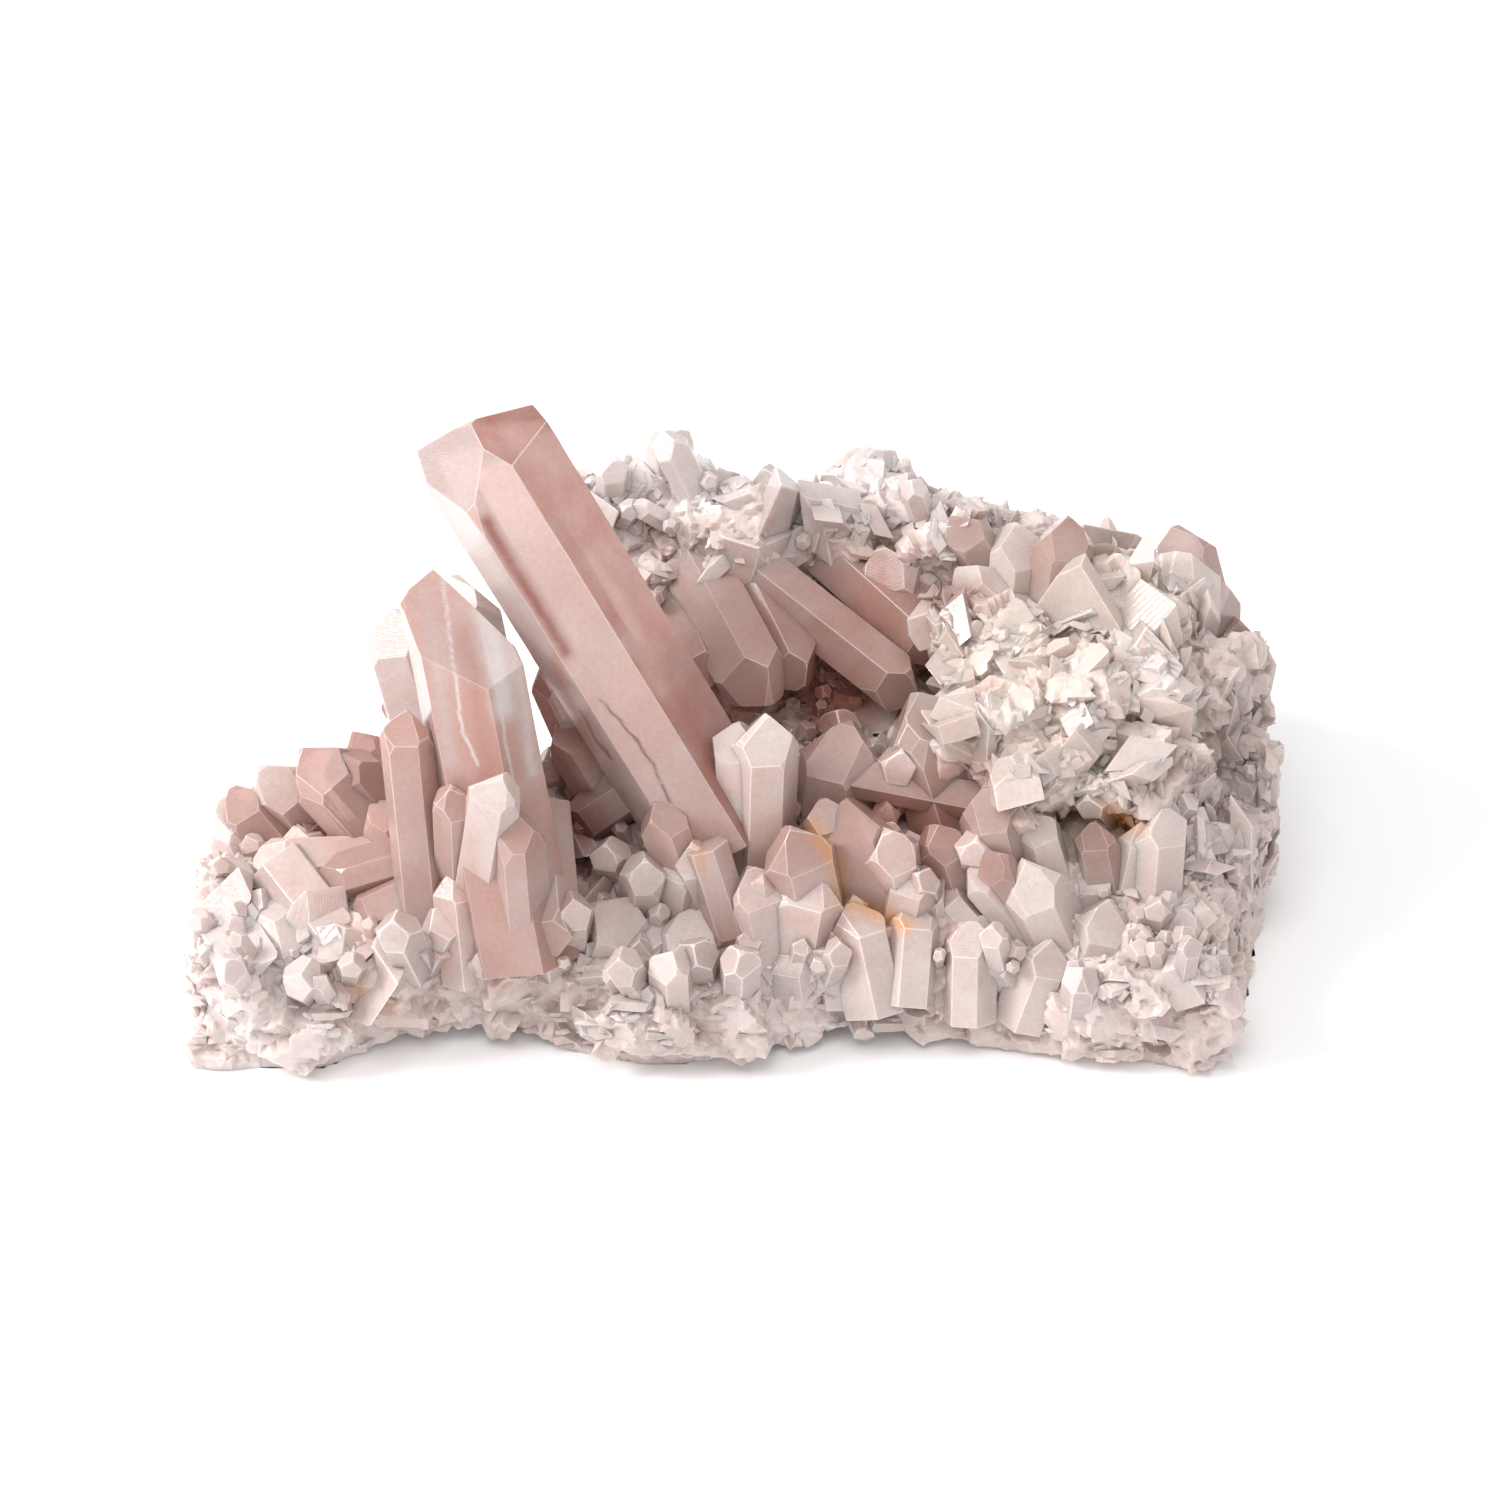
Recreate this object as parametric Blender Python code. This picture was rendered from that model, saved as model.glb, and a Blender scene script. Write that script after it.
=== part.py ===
"""A lithium quartz cluster: one grown-together piece of milky quartz with pink quartz points.

The row frame is in metres with +Z up. The origin is on the resting face, under the middle of the piece.
The slab's front side faces -Y and its broken right flank faces +X.

The piece is built as it grew. A slab of milky matrix comes first, then rough blocks of massive
quartz, then the crystals, and a union makes them one solid. Large forms are placed as they are
seen in the front view: a point is the spot where the sight line through a picture point reaches
a height above the table. Every height, width and depth is a real size in millimetres.
"""

import math
import random
from collections import namedtuple

import bmesh
import bpy
from mathutils import Matrix, Vector, noise

MM = 0.001

# Front view: a square picture 1500 points wide, taken from above the table
PICTURE_SIDE = 1500
PICTURE_WIDTH_MM = 204.6
VIEW_ELEVATION = math.radians(40)
VIEW_DISTANCE_MM = 568.0
VIEW_TARGET_MM = Vector((1.6, 0.0, 30.0))
TO_VIEWER = Vector((0, -math.cos(VIEW_ELEVATION), math.sin(VIEW_ELEVATION)))
VIEW_UP = Vector((0, math.sin(VIEW_ELEVATION), math.cos(VIEW_ELEVATION)))
VIEW_RIGHT = Vector((1, 0, 0))

# Quartz geometry: a rhombohedral face leans this far from the prism's long axis
FACE_LEAN = math.radians(38.2)
PRISM_SIDES = 6

# Slab of matrix: plan outline and the height of its top, all in mm
SLAB_CELLS = 13
FRONT_FLOOR = ((-76, -31), (-58, -32), (-45, -27), (-30, -26.5), (-12, -31), (4, -29), (20, -26), (44, -28.5), (64, -31.5))
FRONT_LEDGE = ((-76, -27), (-56, -28), (-40, -25.5), (-24, -25), (-8, -28), (8, -26), (24, -25), (44, -26), (62, -27))
BACK_LINE = ((-76, -6), (-55, 2), (-32, 6), (-23, 12), (-18, 32), (-6, 40), (14, 41), (36, 41), (55, 37), (72, 29))
LEFT_FLOOR = ((0, -74), (0.4, -74), (1, -70))
LEFT_LEDGE = ((0, -71), (0.5, -71), (1, -66))
RIGHT_FLOOR = ((0, 64.5), (0.2, 70), (0.5, 73.5), (0.8, 75), (1, 69))
RIGHT_LEDGE = ((0, 61), (0.3, 64), (0.6, 66), (1, 64))
TOP_COLUMNS = (-76, -60, -42, -25, -12, 10, 30, 50, 66)
TOP_ROWS = (
    (12, 13, 14, 14, 13, 13, 13, 14, 13),
    (14, 15, 16, 16, 18, 20, 19, 20, 20),
    (15, 17, 18, 17, 24, 24, 24, 27, 26),
    (14, 17, 19, 18, 31, 30, 30, 34, 31),
    (12, 14, 16, 17, 41, 41, 41, 40, 33),
)
ARCHES = ((-37, 15, 3.0), (16, 18, 2.8))
ARCH_DEPTH = 0.30
SIDE_ROUGHNESS_MM = 1.7
TOP_ROUGHNESS_MM = 1.8
ROUGH_GRAIN_MM = 8.0

# A crystal under this width ends in three faces, and a larger one in six
SIX_FACED_MM = 8.4

# How deep a crystal's root is sunk, and how far any form stays above the table
ROOT_MM = 5.0
CLEAR_OF_TABLE_MM = 0.7

MILKY, PINK, ROSE = 0, 1, 2

Crystal = namedtuple("Crystal", "tip tip_mm foot foot_mm width_mm kind spin")
Block = namedtuple("Block", "at height_mm size_mm turn kind")

CRYSTALS = {
    "down_point": Crystal((556, 957), 17, (545, 840), 26, 6.4, PINK, 10),
    "left_point_mate": Crystal((428, 590), 52, (520, 890), 16, 11.5, MILKY, -25),
    "pale_point": Crystal((392, 610), 46, (440, 770), 22, 9.5, MILKY, -20),
    "pale_low": Crystal((392, 672), 35, (452, 780), 20, 7.5, PINK, 15),
    "small_left_point": Crystal((405, 710), 46, (424, 900), 19, 6.6, PINK, -8),
    "small_left_mate": Crystal((433, 728), 42, (446, 880), 20, 5.6, PINK, 20),
    "small_left_root": Crystal((421, 912), 17, (412, 830), 27, 6.0, ROSE, 20),
    "ember_tip": Crystal((352, 732), 30, (398, 800), 19, 5.5, ROSE, 0),
    "grey_front_a": Crystal((480, 772), 44, (478, 900), 20, 6.6, MILKY, -15),
    "grey_front_b": Crystal((452, 788), 40, (456, 890), 20, 5.4, PINK, 20),
    "grey_front_c": Crystal((514, 812), 38, (524, 930), 18, 7.0, PINK, -5),
    "grey_front_d": Crystal((500, 950), 15, (494, 870), 24, 7.0, MILKY, -10),
    "stub_front_a": Crystal((455, 872), 26, (466, 945), 14, 8.0, MILKY, 25),
    "left_block": Crystal((300, 750), 31, (380, 838), 17, 9.5, PINK, 5),
    "left_block_mate": Crystal((336, 752), 31, (392, 820), 19, 7.0, PINK, -25),
    "left_back_pale": Crystal((262, 768), 25, (304, 822), 14, 8.5, MILKY, 10),
    "left_fin": Crystal((230, 786), 22, (284, 850), 12, 7.5, PINK, -15),
    "left_outer": Crystal((216, 806), 19, (258, 872), 9, 8.5, MILKY, 20),
    "left_outer_low": Crystal((240, 862), 14, (290, 905), 7, 8.0, MILKY, -10),
    "left_lying": Crystal((248, 862), 18, (350, 862), 17, 7.5, MILKY, 30),
    "left_wedge": Crystal((312, 888), 17, (402, 862), 20, 7.5, PINK, 0),
    "left_slab_a": Crystal((244, 930), 9, (290, 872), 14, 8.0, MILKY, 25),
    "left_slab_b": Crystal((352, 958), 12, (300, 890), 17, 7.5, MILKY, -20),
    "left_slab_c": Crystal((302, 956), 10, (256, 925), 11, 6.5, MILKY, 5),
    "left_shard": Crystal((350, 922), 15, (398, 900), 18, 6.0, ROSE, 10),
    "left_cap": Crystal((372, 800), 25, (398, 850), 18, 6.0, MILKY, 20),
    "gap_prism": Crystal((556, 722), 33, (604, 800), 22, 6.5, PINK, 15),
    "gap_wedge": Crystal((570, 826), 19, (640, 780), 27, 7.0, ROSE, -10),
    "gap_back": Crystal((548, 655), 40, (612, 800), 20, 8.0, ROSE, 0),
    "pit_white": Crystal((640, 850), 26, (642, 905), 15, 6.0, MILKY, 12),
    "pit_grey": Crystal((682, 850), 26, (678, 905), 16, 6.0, MILKY, -20),
    "front_plate": Crystal((604, 896), 20, (628, 950), 11, 9.5, MILKY, 28),
    "front_white": Crystal((684, 922), 18, (690, 970), 10, 9.0, MILKY, -5),
    "front_white_mate": Crystal((652, 930), 17, (668, 972), 9, 7.0, MILKY, 15),
    "front_pink": Crystal((738, 955), 13, (714, 880), 23, 6.0, ROSE, 10),
    "main_foot_a": Crystal((655, 800), 32, (690, 900), 17, 6.5, PINK, 25),
    "main_foot_b": Crystal((712, 836), 28, (716, 900), 17, 7.0, MILKY, -15),
    "milky_pillar": Crystal((768, 716), 42, (764, 850), 21, 8.5, MILKY, 8),
    "milky_pillar_mate": Crystal((738, 724), 40, (742, 850), 21, 7.5, MILKY, -22),
    "front_knob": Crystal((800, 862), 25, (796, 960), 11, 9.5, MILKY, -12),
    "front_knob_left": Crystal((762, 870), 25, (770, 955), 12, 8.0, MILKY, 18),
    "front_knob_back": Crystal((792, 826), 31, (806, 890), 20, 9.0, PINK, 18),
    "slope_pink_a": Crystal((848, 800), 31, (872, 895), 17, 9.0, PINK, -22),
    "slope_pink_b": Crystal((884, 820), 29, (900, 890), 18, 8.0, MILKY, 14),
    "slope_pink_c": Crystal((822, 796), 31, (836, 860), 21, 6.5, PINK, 2),
    "slope_pink_d": Crystal((908, 852), 25, (900, 920), 15, 7.0, MILKY, -12),
    "slope_white_a": Crystal((868, 915), 20, (868, 978), 11, 7.5, MILKY, 20),
    "slope_white_b": Crystal((832, 912), 18, (838, 968), 11, 6.0, MILKY, -8),
    "slope_white_c": Crystal((916, 910), 19, (912, 970), 12, 7.0, MILKY, 10),
    "striated_prism": Crystal((768, 704), 34, (692, 562), 40, 9.6, PINK, 34),
    "striated_mate": Crystal((802, 688), 33, (745, 572), 40, 8.0, ROSE, 24),
    "striated_stub": Crystal((712, 688), 33, (672, 600), 36, 7.0, ROSE, 5),
    "diagonal_low": Crystal((918, 700), 31, (768, 582), 40, 9.2, ROSE, 30),
    "diagonal_high": Crystal((952, 662), 33, (806, 530), 42, 9.4, ROSE, 25),
    "diagonal_edge": Crystal((868, 566), 41, (786, 500), 45, 5.0, PINK, 10),
    "pit_wedge": Crystal((848, 724), 34, (838, 812), 21, 10.5, PINK, -18),
    "pit_right": Crystal((914, 694), 37, (944, 790), 24, 11.0, PINK, 22),
    "lying_pink": Crystal((824, 768), 29, (968, 796), 25, 6.0, PINK, 15),
    "cave_rose": Crystal((984, 788), 32, (1002, 872), 19, 8.0, ROSE, -12),
    "cave_rose_mate": Crystal((932, 824), 27, (950, 880), 18, 7.0, ROSE, 20),
    "back_pillar": Crystal((772, 512), 47, (776, 612), 32, 9.0, MILKY, 16),
    "back_grey": Crystal((880, 548), 45, (900, 612), 34, 9.0, MILKY, -10),
    "back_grey_mate": Crystal((914, 566), 42, (926, 625), 33, 7.0, PINK, 12),
    "crest_pink": Crystal((950, 516), 50, (990, 575), 40, 6.5, ROSE, -5),
    "crest_white": Crystal((1018, 524), 50, (1014, 600), 38, 8.4, MILKY, 22),
    "crest_long": Crystal((956, 568), 44, (1036, 640), 36, 7.0, MILKY, -20),
    "top_rose_left": Crystal((1070, 518), 53, (1056, 625), 36, 8.0, ROSE, 8),
    "top_rose_right": Crystal((1174, 526), 48, (1196, 610), 35, 8.4, ROSE, -14),
    "top_mauve": Crystal((1130, 552), 46, (1138, 600), 38, 7.0, ROSE, 15),
    "top_corner": Crystal((1208, 572), 43, (1206, 660), 30, 8.5, PINK, -6),
    "corner_rose": Crystal((1240, 622), 38, (1224, 668), 29, 5.6, ROSE, 18),
    "corner_low": Crystal((1250, 672), 31, (1226, 730), 23, 6.5, MILKY, 0),
    "slope_right_a": Crystal((1036, 814), 28, (1052, 885), 17, 7.0, MILKY, 14),
    "slope_right_b": Crystal((1092, 822), 27, (1104, 885), 17, 6.0, ROSE, -18),
    "slope_right_c": Crystal((1128, 836), 26, (1130, 895), 16, 6.4, MILKY, 6),
    "slope_right_d": Crystal((1164, 818), 28, (1156, 895), 16, 8.0, MILKY, 24),
    "bar_long": Crystal((955, 860), 23, (1040, 950), 11, 6.0, MILKY, 18),
    "bar_short": Crystal((984, 850), 26, (1034, 915), 16, 5.4, ROSE, -15),
    "bar_low": Crystal((950, 900), 19, (1000, 960), 11, 5.6, MILKY, 5),
    "slope_grey": Crystal((1042, 856), 25, (1050, 930), 14, 9.0, MILKY, -8),
    "slope_bright": Crystal((1032, 940), 17, (1032, 990), 9, 8.0, MILKY, 20),
    "slope_bright_b": Crystal((968, 934), 18, (972, 985), 10, 7.0, MILKY, -14),
    "slope_grey_b": Crystal((1094, 886), 20, (1090, 955), 11, 8.0, MILKY, 12),
    "corner_white": Crystal((1182, 908), 18, (1178, 958), 11, 6.5, MILKY, -10),
}

BLOCKS = {
    "back_left": Block((606, 536), 41, (8, 7, 9), 10, MILKY),
    "back_left_top": Block((650, 510), 44, (10, 6, 7), 35, MILKY),
    "back_left_mid": Block((702, 526), 43, (10, 7, 8), -20, MILKY),
    "back_left_low": Block((660, 575), 36, (9, 7, 8), 15, MILKY),
    "back_left_end": Block((736, 548), 42, (7, 6, 8), 50, MILKY),
    "back_right": Block((834, 530), 43, (8, 6, 7), 5, MILKY),
    "back_right_top": Block((888, 524), 43, (10, 6, 6), -15, MILKY),
    "back_right_end": Block((940, 545), 42, (8, 7, 7), 30, MILKY),
    "back_wall_left": Block((650, 640), 18, (8, 6, 10), 20, MILKY),
    "back_wall_mid": Block((790, 632), 17, (12, 5, 9), -12, MILKY),
    "back_wall_right": Block((960, 636), 20, (11, 5, 11), 15, MILKY),
    "back_wall_end": Block((1110, 664), 15, (10, 6, 10), -28, MILKY),
    "right_ridge": Block((1108, 640), 36, (9, 8, 9), 20, MILKY),
    "right_ridge_top": Block((1110, 600), 40, (8, 6, 6), -10, MILKY),
    "right_ridge_side": Block((1160, 640), 36, (7, 8, 9), 40, MILKY),
    "right_ridge_low": Block((1132, 690), 33, (8, 7, 9), -25, MILKY),
    "right_lump": Block((1000, 648), 37, (9, 7, 6), 12, MILKY),
    "right_face": Block((1002, 730), 32, (8, 7, 7), -8, MILKY),
    "right_face_low": Block((1036, 768), 29, (8, 6, 6), 30, MILKY),
    "right_face_side": Block((1078, 722), 33, (7, 7, 8), 25, MILKY),
    "right_cream": Block((1140, 778), 27, (9, 7, 7), 5, MILKY),
    "right_shoulder": Block((1186, 700), 30, (6, 8, 9), -30, MILKY),
    "flank_top": Block((1222, 690), 27, (5, 7, 8), 10, MILKY),
    "flank_mid": Block((1234, 776), 19, (5, 7, 8), 40, MILKY),
    "flank_low": Block((1236, 850), 12, (5, 8, 8), -5, MILKY),
    "left_heel": Block((246, 985), 9, (7, 7, 7), 15, MILKY),
    "left_toe": Block((296, 1012), 7, (8, 6, 5.5), -10, MILKY),
    "left_side": Block((236, 906), 11, (4, 6, 6), 20, MILKY),
    "front_belly": Block((668, 1014), 7, (12, 6, 6), 8, MILKY),
    "front_right": Block((1130, 994), 9, (10, 6, 7), -12, MILKY),
    "corner_post": Block((1190, 1000), 9, (5, 6, 8), 30, MILKY),
}

# Points with their own sides: half widths run from the face seen in front round to the right, in mm.
# Each cut passes three prism edges, given by the face before it and how far it stands below the tip.
Point = namedtuple("Point", "tip tip_mm foot foot_mm half_mm spin cuts")

POINTS = {
    "main_point": Point(
        (463, 416), 77, (704, 806), 25, (8.9, 7.7, 8.2, 8.9, 7.7, 8.2), -10,
        (
            ((5, 10.4), (4, 4.4), (0, 0.8)),
            ((0, 7.0), (1, 6.2), (5, -8.0)),
            ((2, 9.0), (3, 7.0), (1, 1.0)),
            ((3, 5.0), (4, 0.5), (2, 6.0)),
        ),
    ),
    "left_point": Point(
        (447, 552), 64, (520, 925), 17, (6.6, 6.9, 6.3, 6.2, 7.0, 6.8), -15,
        (
            ((4, 6.4), (5, 3.4), (3, 1.4)),
            ((0, 5.8), (1, 14.4), (2, 14.0)),
            ((5, 4.4), (0, 5.6), (1, -2.7)),
            ((3, 3.5), (2, 9.0), (4, 5.0)),
        ),
    ),
}

# How many flat breaks shape a rough block
BLOCK_BREAKS = 12

# Small crystals that fill in between: where they grow, how many and how large
FILL_COUNT = 51
FILL_WIDTH_MM = (4.2, 7.2)
FILL_SEED = 41
FILL_ZONES = (((0.02, 0.98), (0.05, 0.26)), ((0.02, 0.34), (0.2, 0.9)), ((0.45, 0.97), (0.15, 0.5)))


def seen(point, height_mm):
    """The spot at this height on the sight line through a picture point, in mm."""
    share = PICTURE_WIDTH_MM / VIEW_DISTANCE_MM / PICTURE_SIDE
    across = (point[0] - PICTURE_SIDE / 2) * share
    up = (PICTURE_SIDE / 2 - point[1]) * share
    eye = VIEW_TARGET_MM + TO_VIEWER * VIEW_DISTANCE_MM
    line = -TO_VIEWER + VIEW_RIGHT * across + VIEW_UP * up
    return eye + line * ((height_mm - eye.z) / line.z)


def between(table, x):
    """A value read from a table of (x, value) pairs, with straight lines between them."""
    if x <= table[0][0]:
        return table[0][1]
    for (x0, y0), (x1, y1) in zip(table, table[1:]):
        if x <= x1:
            return y0 + (y1 - y0) * (x - x0) / (x1 - x0)
    return table[-1][1]


def top_height(x, share):
    """The slab's top at x, where share runs from 0 at the front ledge to 1 at the back."""
    columns = [between(tuple(zip(TOP_COLUMNS, row)), x) for row in TOP_ROWS]
    stations = [k / (len(TOP_ROWS) - 1) for k in range(len(TOP_ROWS))]
    return between(tuple(zip(stations, columns)), share)


def slab_point(across, deep, up):
    """A point of the slab in mm. Each argument runs from 0 to 1: left to right, front to back, bottom to top."""
    left = between(LEFT_FLOOR, deep) * (1 - up) + between(LEFT_LEDGE, deep) * up
    right = between(RIGHT_FLOOR, deep) * (1 - up) + between(RIGHT_LEDGE, deep) * up
    x = left + (right - left) * across
    front = between(FRONT_FLOOR, x) * (1 - up) + between(FRONT_LEDGE, x) * up
    back = between(BACK_LINE, x)
    y = front + (back - front) * deep
    arch = sum(
        lift * max(0.0, 1 - ((x - middle) / half) ** 2) * max(0.0, 1 - deep / ARCH_DEPTH)
        for middle, half, lift in ARCHES
    )
    top = top_height(x, deep)
    return Vector((x, y, arch + (top - arch) * up))


def roughened(point, amount_mm):
    """The point moved by smooth noise, except straight down into the resting face."""
    grain = noise.noise_vector(point / ROUGH_GRAIN_MM) + noise.noise_vector(point / ROUGH_GRAIN_MM * 2.7) * 0.45
    return point + grain * amount_mm


def slab():
    """The matrix: a gridded box whose sides follow the outline and whose top follows the relief."""
    form = bmesh.new()
    bmesh.ops.create_cube(form, size=1)
    bmesh.ops.subdivide_edges(form, edges=form.edges[:], cuts=SLAB_CELLS - 1, use_grid_fill=True)
    for vertex in form.verts:
        across, deep, up = (value + 0.5 for value in vertex.co)
        point = slab_point(across, deep, up)
        if up > 0:
            point = roughened(point, TOP_ROUGHNESS_MM if up == 1 else SIDE_ROUGHNESS_MM)
            point.z = max(point.z, CLEAR_OF_TABLE_MM)
        vertex.co = point * MM
    resting = [face for face in form.faces if all(vertex.co.z < 1e-6 for vertex in face.verts)]
    bmesh.ops.dissolve_faces(form, faces=resting)
    return form


def cut(form, point, normal):
    """Cuts a convex form flat and keeps the side behind the plane."""
    parts = form.verts[:] + form.edges[:] + form.faces[:]
    found = bmesh.ops.bisect_plane(form, geom=parts, plane_co=point, plane_no=normal, clear_outer=True)
    rim = [item for item in found["geom_cut"] if isinstance(item, bmesh.types.BMEdge)]
    if len(rim) > 2:
        bmesh.ops.edgeloop_fill(form, edges=rim)


def cube_of(width, depth, bottom, top):
    """A box that a crystal or a block is cut from."""
    form = bmesh.new()
    bmesh.ops.create_cube(form, size=1)
    size = Matrix.Diagonal((width, depth, top - bottom, 1))
    bmesh.ops.transform(form, matrix=Matrix.Translation((0, 0, (top + bottom) / 2)) @ size, verts=form.verts)
    return form


def face_normal(spin_degrees, k):
    """The outward normal of prism face k. Face 0 is turned by spin from the viewer, and the rest go round to the right."""
    angle = math.radians(spin_degrees + 360 / PRISM_SIDES * k)
    return Vector((math.cos(angle), math.sin(angle), 0))


def prism(half_widths, length, spin):
    """A six-sided prism from below its root to above its tip, along +Z, in mm."""
    reach = 4 * max(half_widths)
    form = cube_of(reach, reach, -ROOT_MM, length)
    for k, half in enumerate(half_widths):
        normal = face_normal(spin, k)
        cut(form, normal * half, normal)
    return form


def crystal(spec, chance):
    """One crystal with six unequal sides and a six-faced tip."""
    foot = seen(spec.foot, spec.foot_mm)
    tip = seen(spec.tip, spec.tip_mm)
    return crystal_between(foot, tip, spec.width_mm, spec.spin, chance)


def crystal_between(foot, tip, width_mm, spin, chance):
    """A crystal from foot to tip, in mm, given in the row frame."""
    length = (tip - foot).length
    half_widths = [width_mm / 2 * chance.uniform(0.82, 1.1) for _ in range(PRISM_SIDES)]
    form = prism(half_widths, length, spin)
    for k in range(0, PRISM_SIDES, 1 if width_mm >= SIX_FACED_MM else 2):
        small_face = k % 2
        above = chance.uniform(0.12, 0.3) * width_mm * small_face + chance.uniform(0, 0.1) * width_mm
        side = face_normal(spin, k)
        normal = side * math.cos(FACE_LEAN) + Vector((0, 0, math.sin(FACE_LEAN)))
        cut(form, Vector((0, 0, length + above)), normal)
    return placed(form, foot, tip)


def large_point(spec):
    """A large point with its own unequal sides, and tip faces that pass three of its edges each."""
    foot = seen(spec.foot, spec.foot_mm)
    tip = seen(spec.tip, spec.tip_mm)
    length = (tip - foot).length
    form = prism(spec.half_mm, length, spec.spin)
    for edges in spec.cuts:
        corners = [prism_edge(spec, k) + Vector((0, 0, length - below)) for k, below in edges]
        normal = (corners[1] - corners[0]).cross(corners[2] - corners[0]).normalized()
        cut(form, corners[0], normal if normal.z > 0 else -normal)
    return placed(form, foot, tip)


def prism_edge(spec, k):
    """Where the edge between faces k and k + 1 stands, seen along the point's axis."""
    first, second = face_normal(spec.spin, k), face_normal(spec.spin, k + 1)
    a, b = spec.half_mm[k % PRISM_SIDES], spec.half_mm[(k + 1) % PRISM_SIDES]
    turn = first.x * second.y - first.y * second.x
    return Vector(((a * second.y - b * first.y) / turn, (b * first.x - a * second.x) / turn, 0))


def placed(form, foot, tip):
    """The form moved so that its +Z runs from foot to tip and its +X turns towards the viewer, in metres."""
    along = (tip - foot).normalized()
    facing = (TO_VIEWER - along * TO_VIEWER.dot(along)).normalized()
    side = along.cross(facing)
    turn = Matrix((facing, side, along)).transposed().to_4x4()
    bmesh.ops.transform(form, matrix=Matrix.Scale(MM, 4) @ Matrix.Translation(foot) @ turn, verts=form.verts)
    return cleared(form)


def cleared(form):
    """Cuts off what would reach the table, so that only the slab rests on it."""
    floor = Vector((0, 0, CLEAR_OF_TABLE_MM * MM))
    if min(vertex.co.z for vertex in form.verts) < floor.z:
        cut(form, floor, Vector((0, 0, -1)))
    bmesh.ops.recalc_face_normals(form, faces=form.faces)
    return form


def block(spec, chance):
    """A rough block of massive quartz: a box with its corners and edges broken off flat."""
    form = cube_of(2, 2, -1, 1)
    for _ in range(BLOCK_BREAKS):
        normal = Vector([chance.gauss(0, 1) for _ in range(3)]).normalized()
        cut(form, normal * chance.uniform(0.78, 1.02), normal)
    size = Matrix.Diagonal((*spec.size_mm, 1))
    turn = Matrix.Rotation(math.radians(spec.turn), 4, "Z")
    middle = Matrix.Translation(seen(spec.at, spec.height_mm))
    bmesh.ops.transform(form, matrix=Matrix.Scale(MM, 4) @ middle @ turn @ size, verts=form.verts)
    return cleared(form)


def centred(forms):
    """Moves all forms together so that the origin is under the middle of their common box."""
    places = [vertex.co for form in forms for vertex in form.verts]
    low = Vector([min(place[axis] for place in places) for axis in range(3)])
    high = Vector([max(place[axis] for place in places) for axis in range(3)])
    middle = (low + high) / 2
    for form in forms:
        bmesh.ops.translate(form, vec=(-middle.x, -middle.y, 0), verts=form.verts)
    print("middle of the plan, mm", round(middle.x / MM, 3), round(middle.y / MM, 3))


def fill_crystals(chance):
    """The small crystals that cover the slope, the left end and the flanks."""
    forms = []
    for k in range(FILL_COUNT):
        across, deep = (chance.uniform(*span) for span in FILL_ZONES[k % len(FILL_ZONES)])
        spot = slab_point(across, deep, 1.0)
        out = Vector((chance.gauss(-0.1, 0.45), chance.gauss(-0.2, 0.4), 1.0))
        width = chance.uniform(*FILL_WIDTH_MM)
        tip = spot + out.normalized() * width * chance.uniform(0.8, 1.25)
        forms.append(crystal_between(spot, tip, width, chance.uniform(-30, 30), chance))
    return forms


def material(name, colour, roughness):
    """A plain glassy finish for the solid."""
    made = bpy.data.materials.new(name)
    made.use_nodes = True
    shader = made.node_tree.nodes["Principled BSDF"]
    shader.inputs["Base Color"].default_value = (*colour, 1)
    shader.inputs["Roughness"].default_value = roughness
    shader.inputs["Metallic"].default_value = 0.0
    made.diffuse_color = (*colour, 1)
    return made


def new_object(name, form, collection, finishes, kind):
    """An object of this form whose faces all have one of the finishes."""
    mesh = bpy.data.meshes.new(name)
    form.to_mesh(mesh)
    form.free()
    for finish in finishes:
        mesh.materials.append(finish)
    mesh.polygons.foreach_set("material_index", [kind] * len(mesh.polygons))
    made = bpy.data.objects.new(name, mesh)
    collection.objects.link(made)
    return made


def grown_shell(form, start):
    """All faces that hang together with this one."""
    shell, waiting = {start}, [start]
    while waiting:
        face = waiting.pop()
        for neighbour in (other for edge in face.edges for other in edge.link_faces):
            if neighbour not in shell:
                shell.add(neighbour)
                waiting.append(neighbour)
    return shell


def fill_cavities(form):
    """Makes the gaps that are closed off between crystals solid, by keeping only the outer shell."""
    outer = grown_shell(form, max(form.faces, key=lambda face: face.calc_center_median().z))
    inner = [face for face in form.faces if face not in outer]
    bmesh.ops.delete(form, geom=inner, context="FACES")


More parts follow.
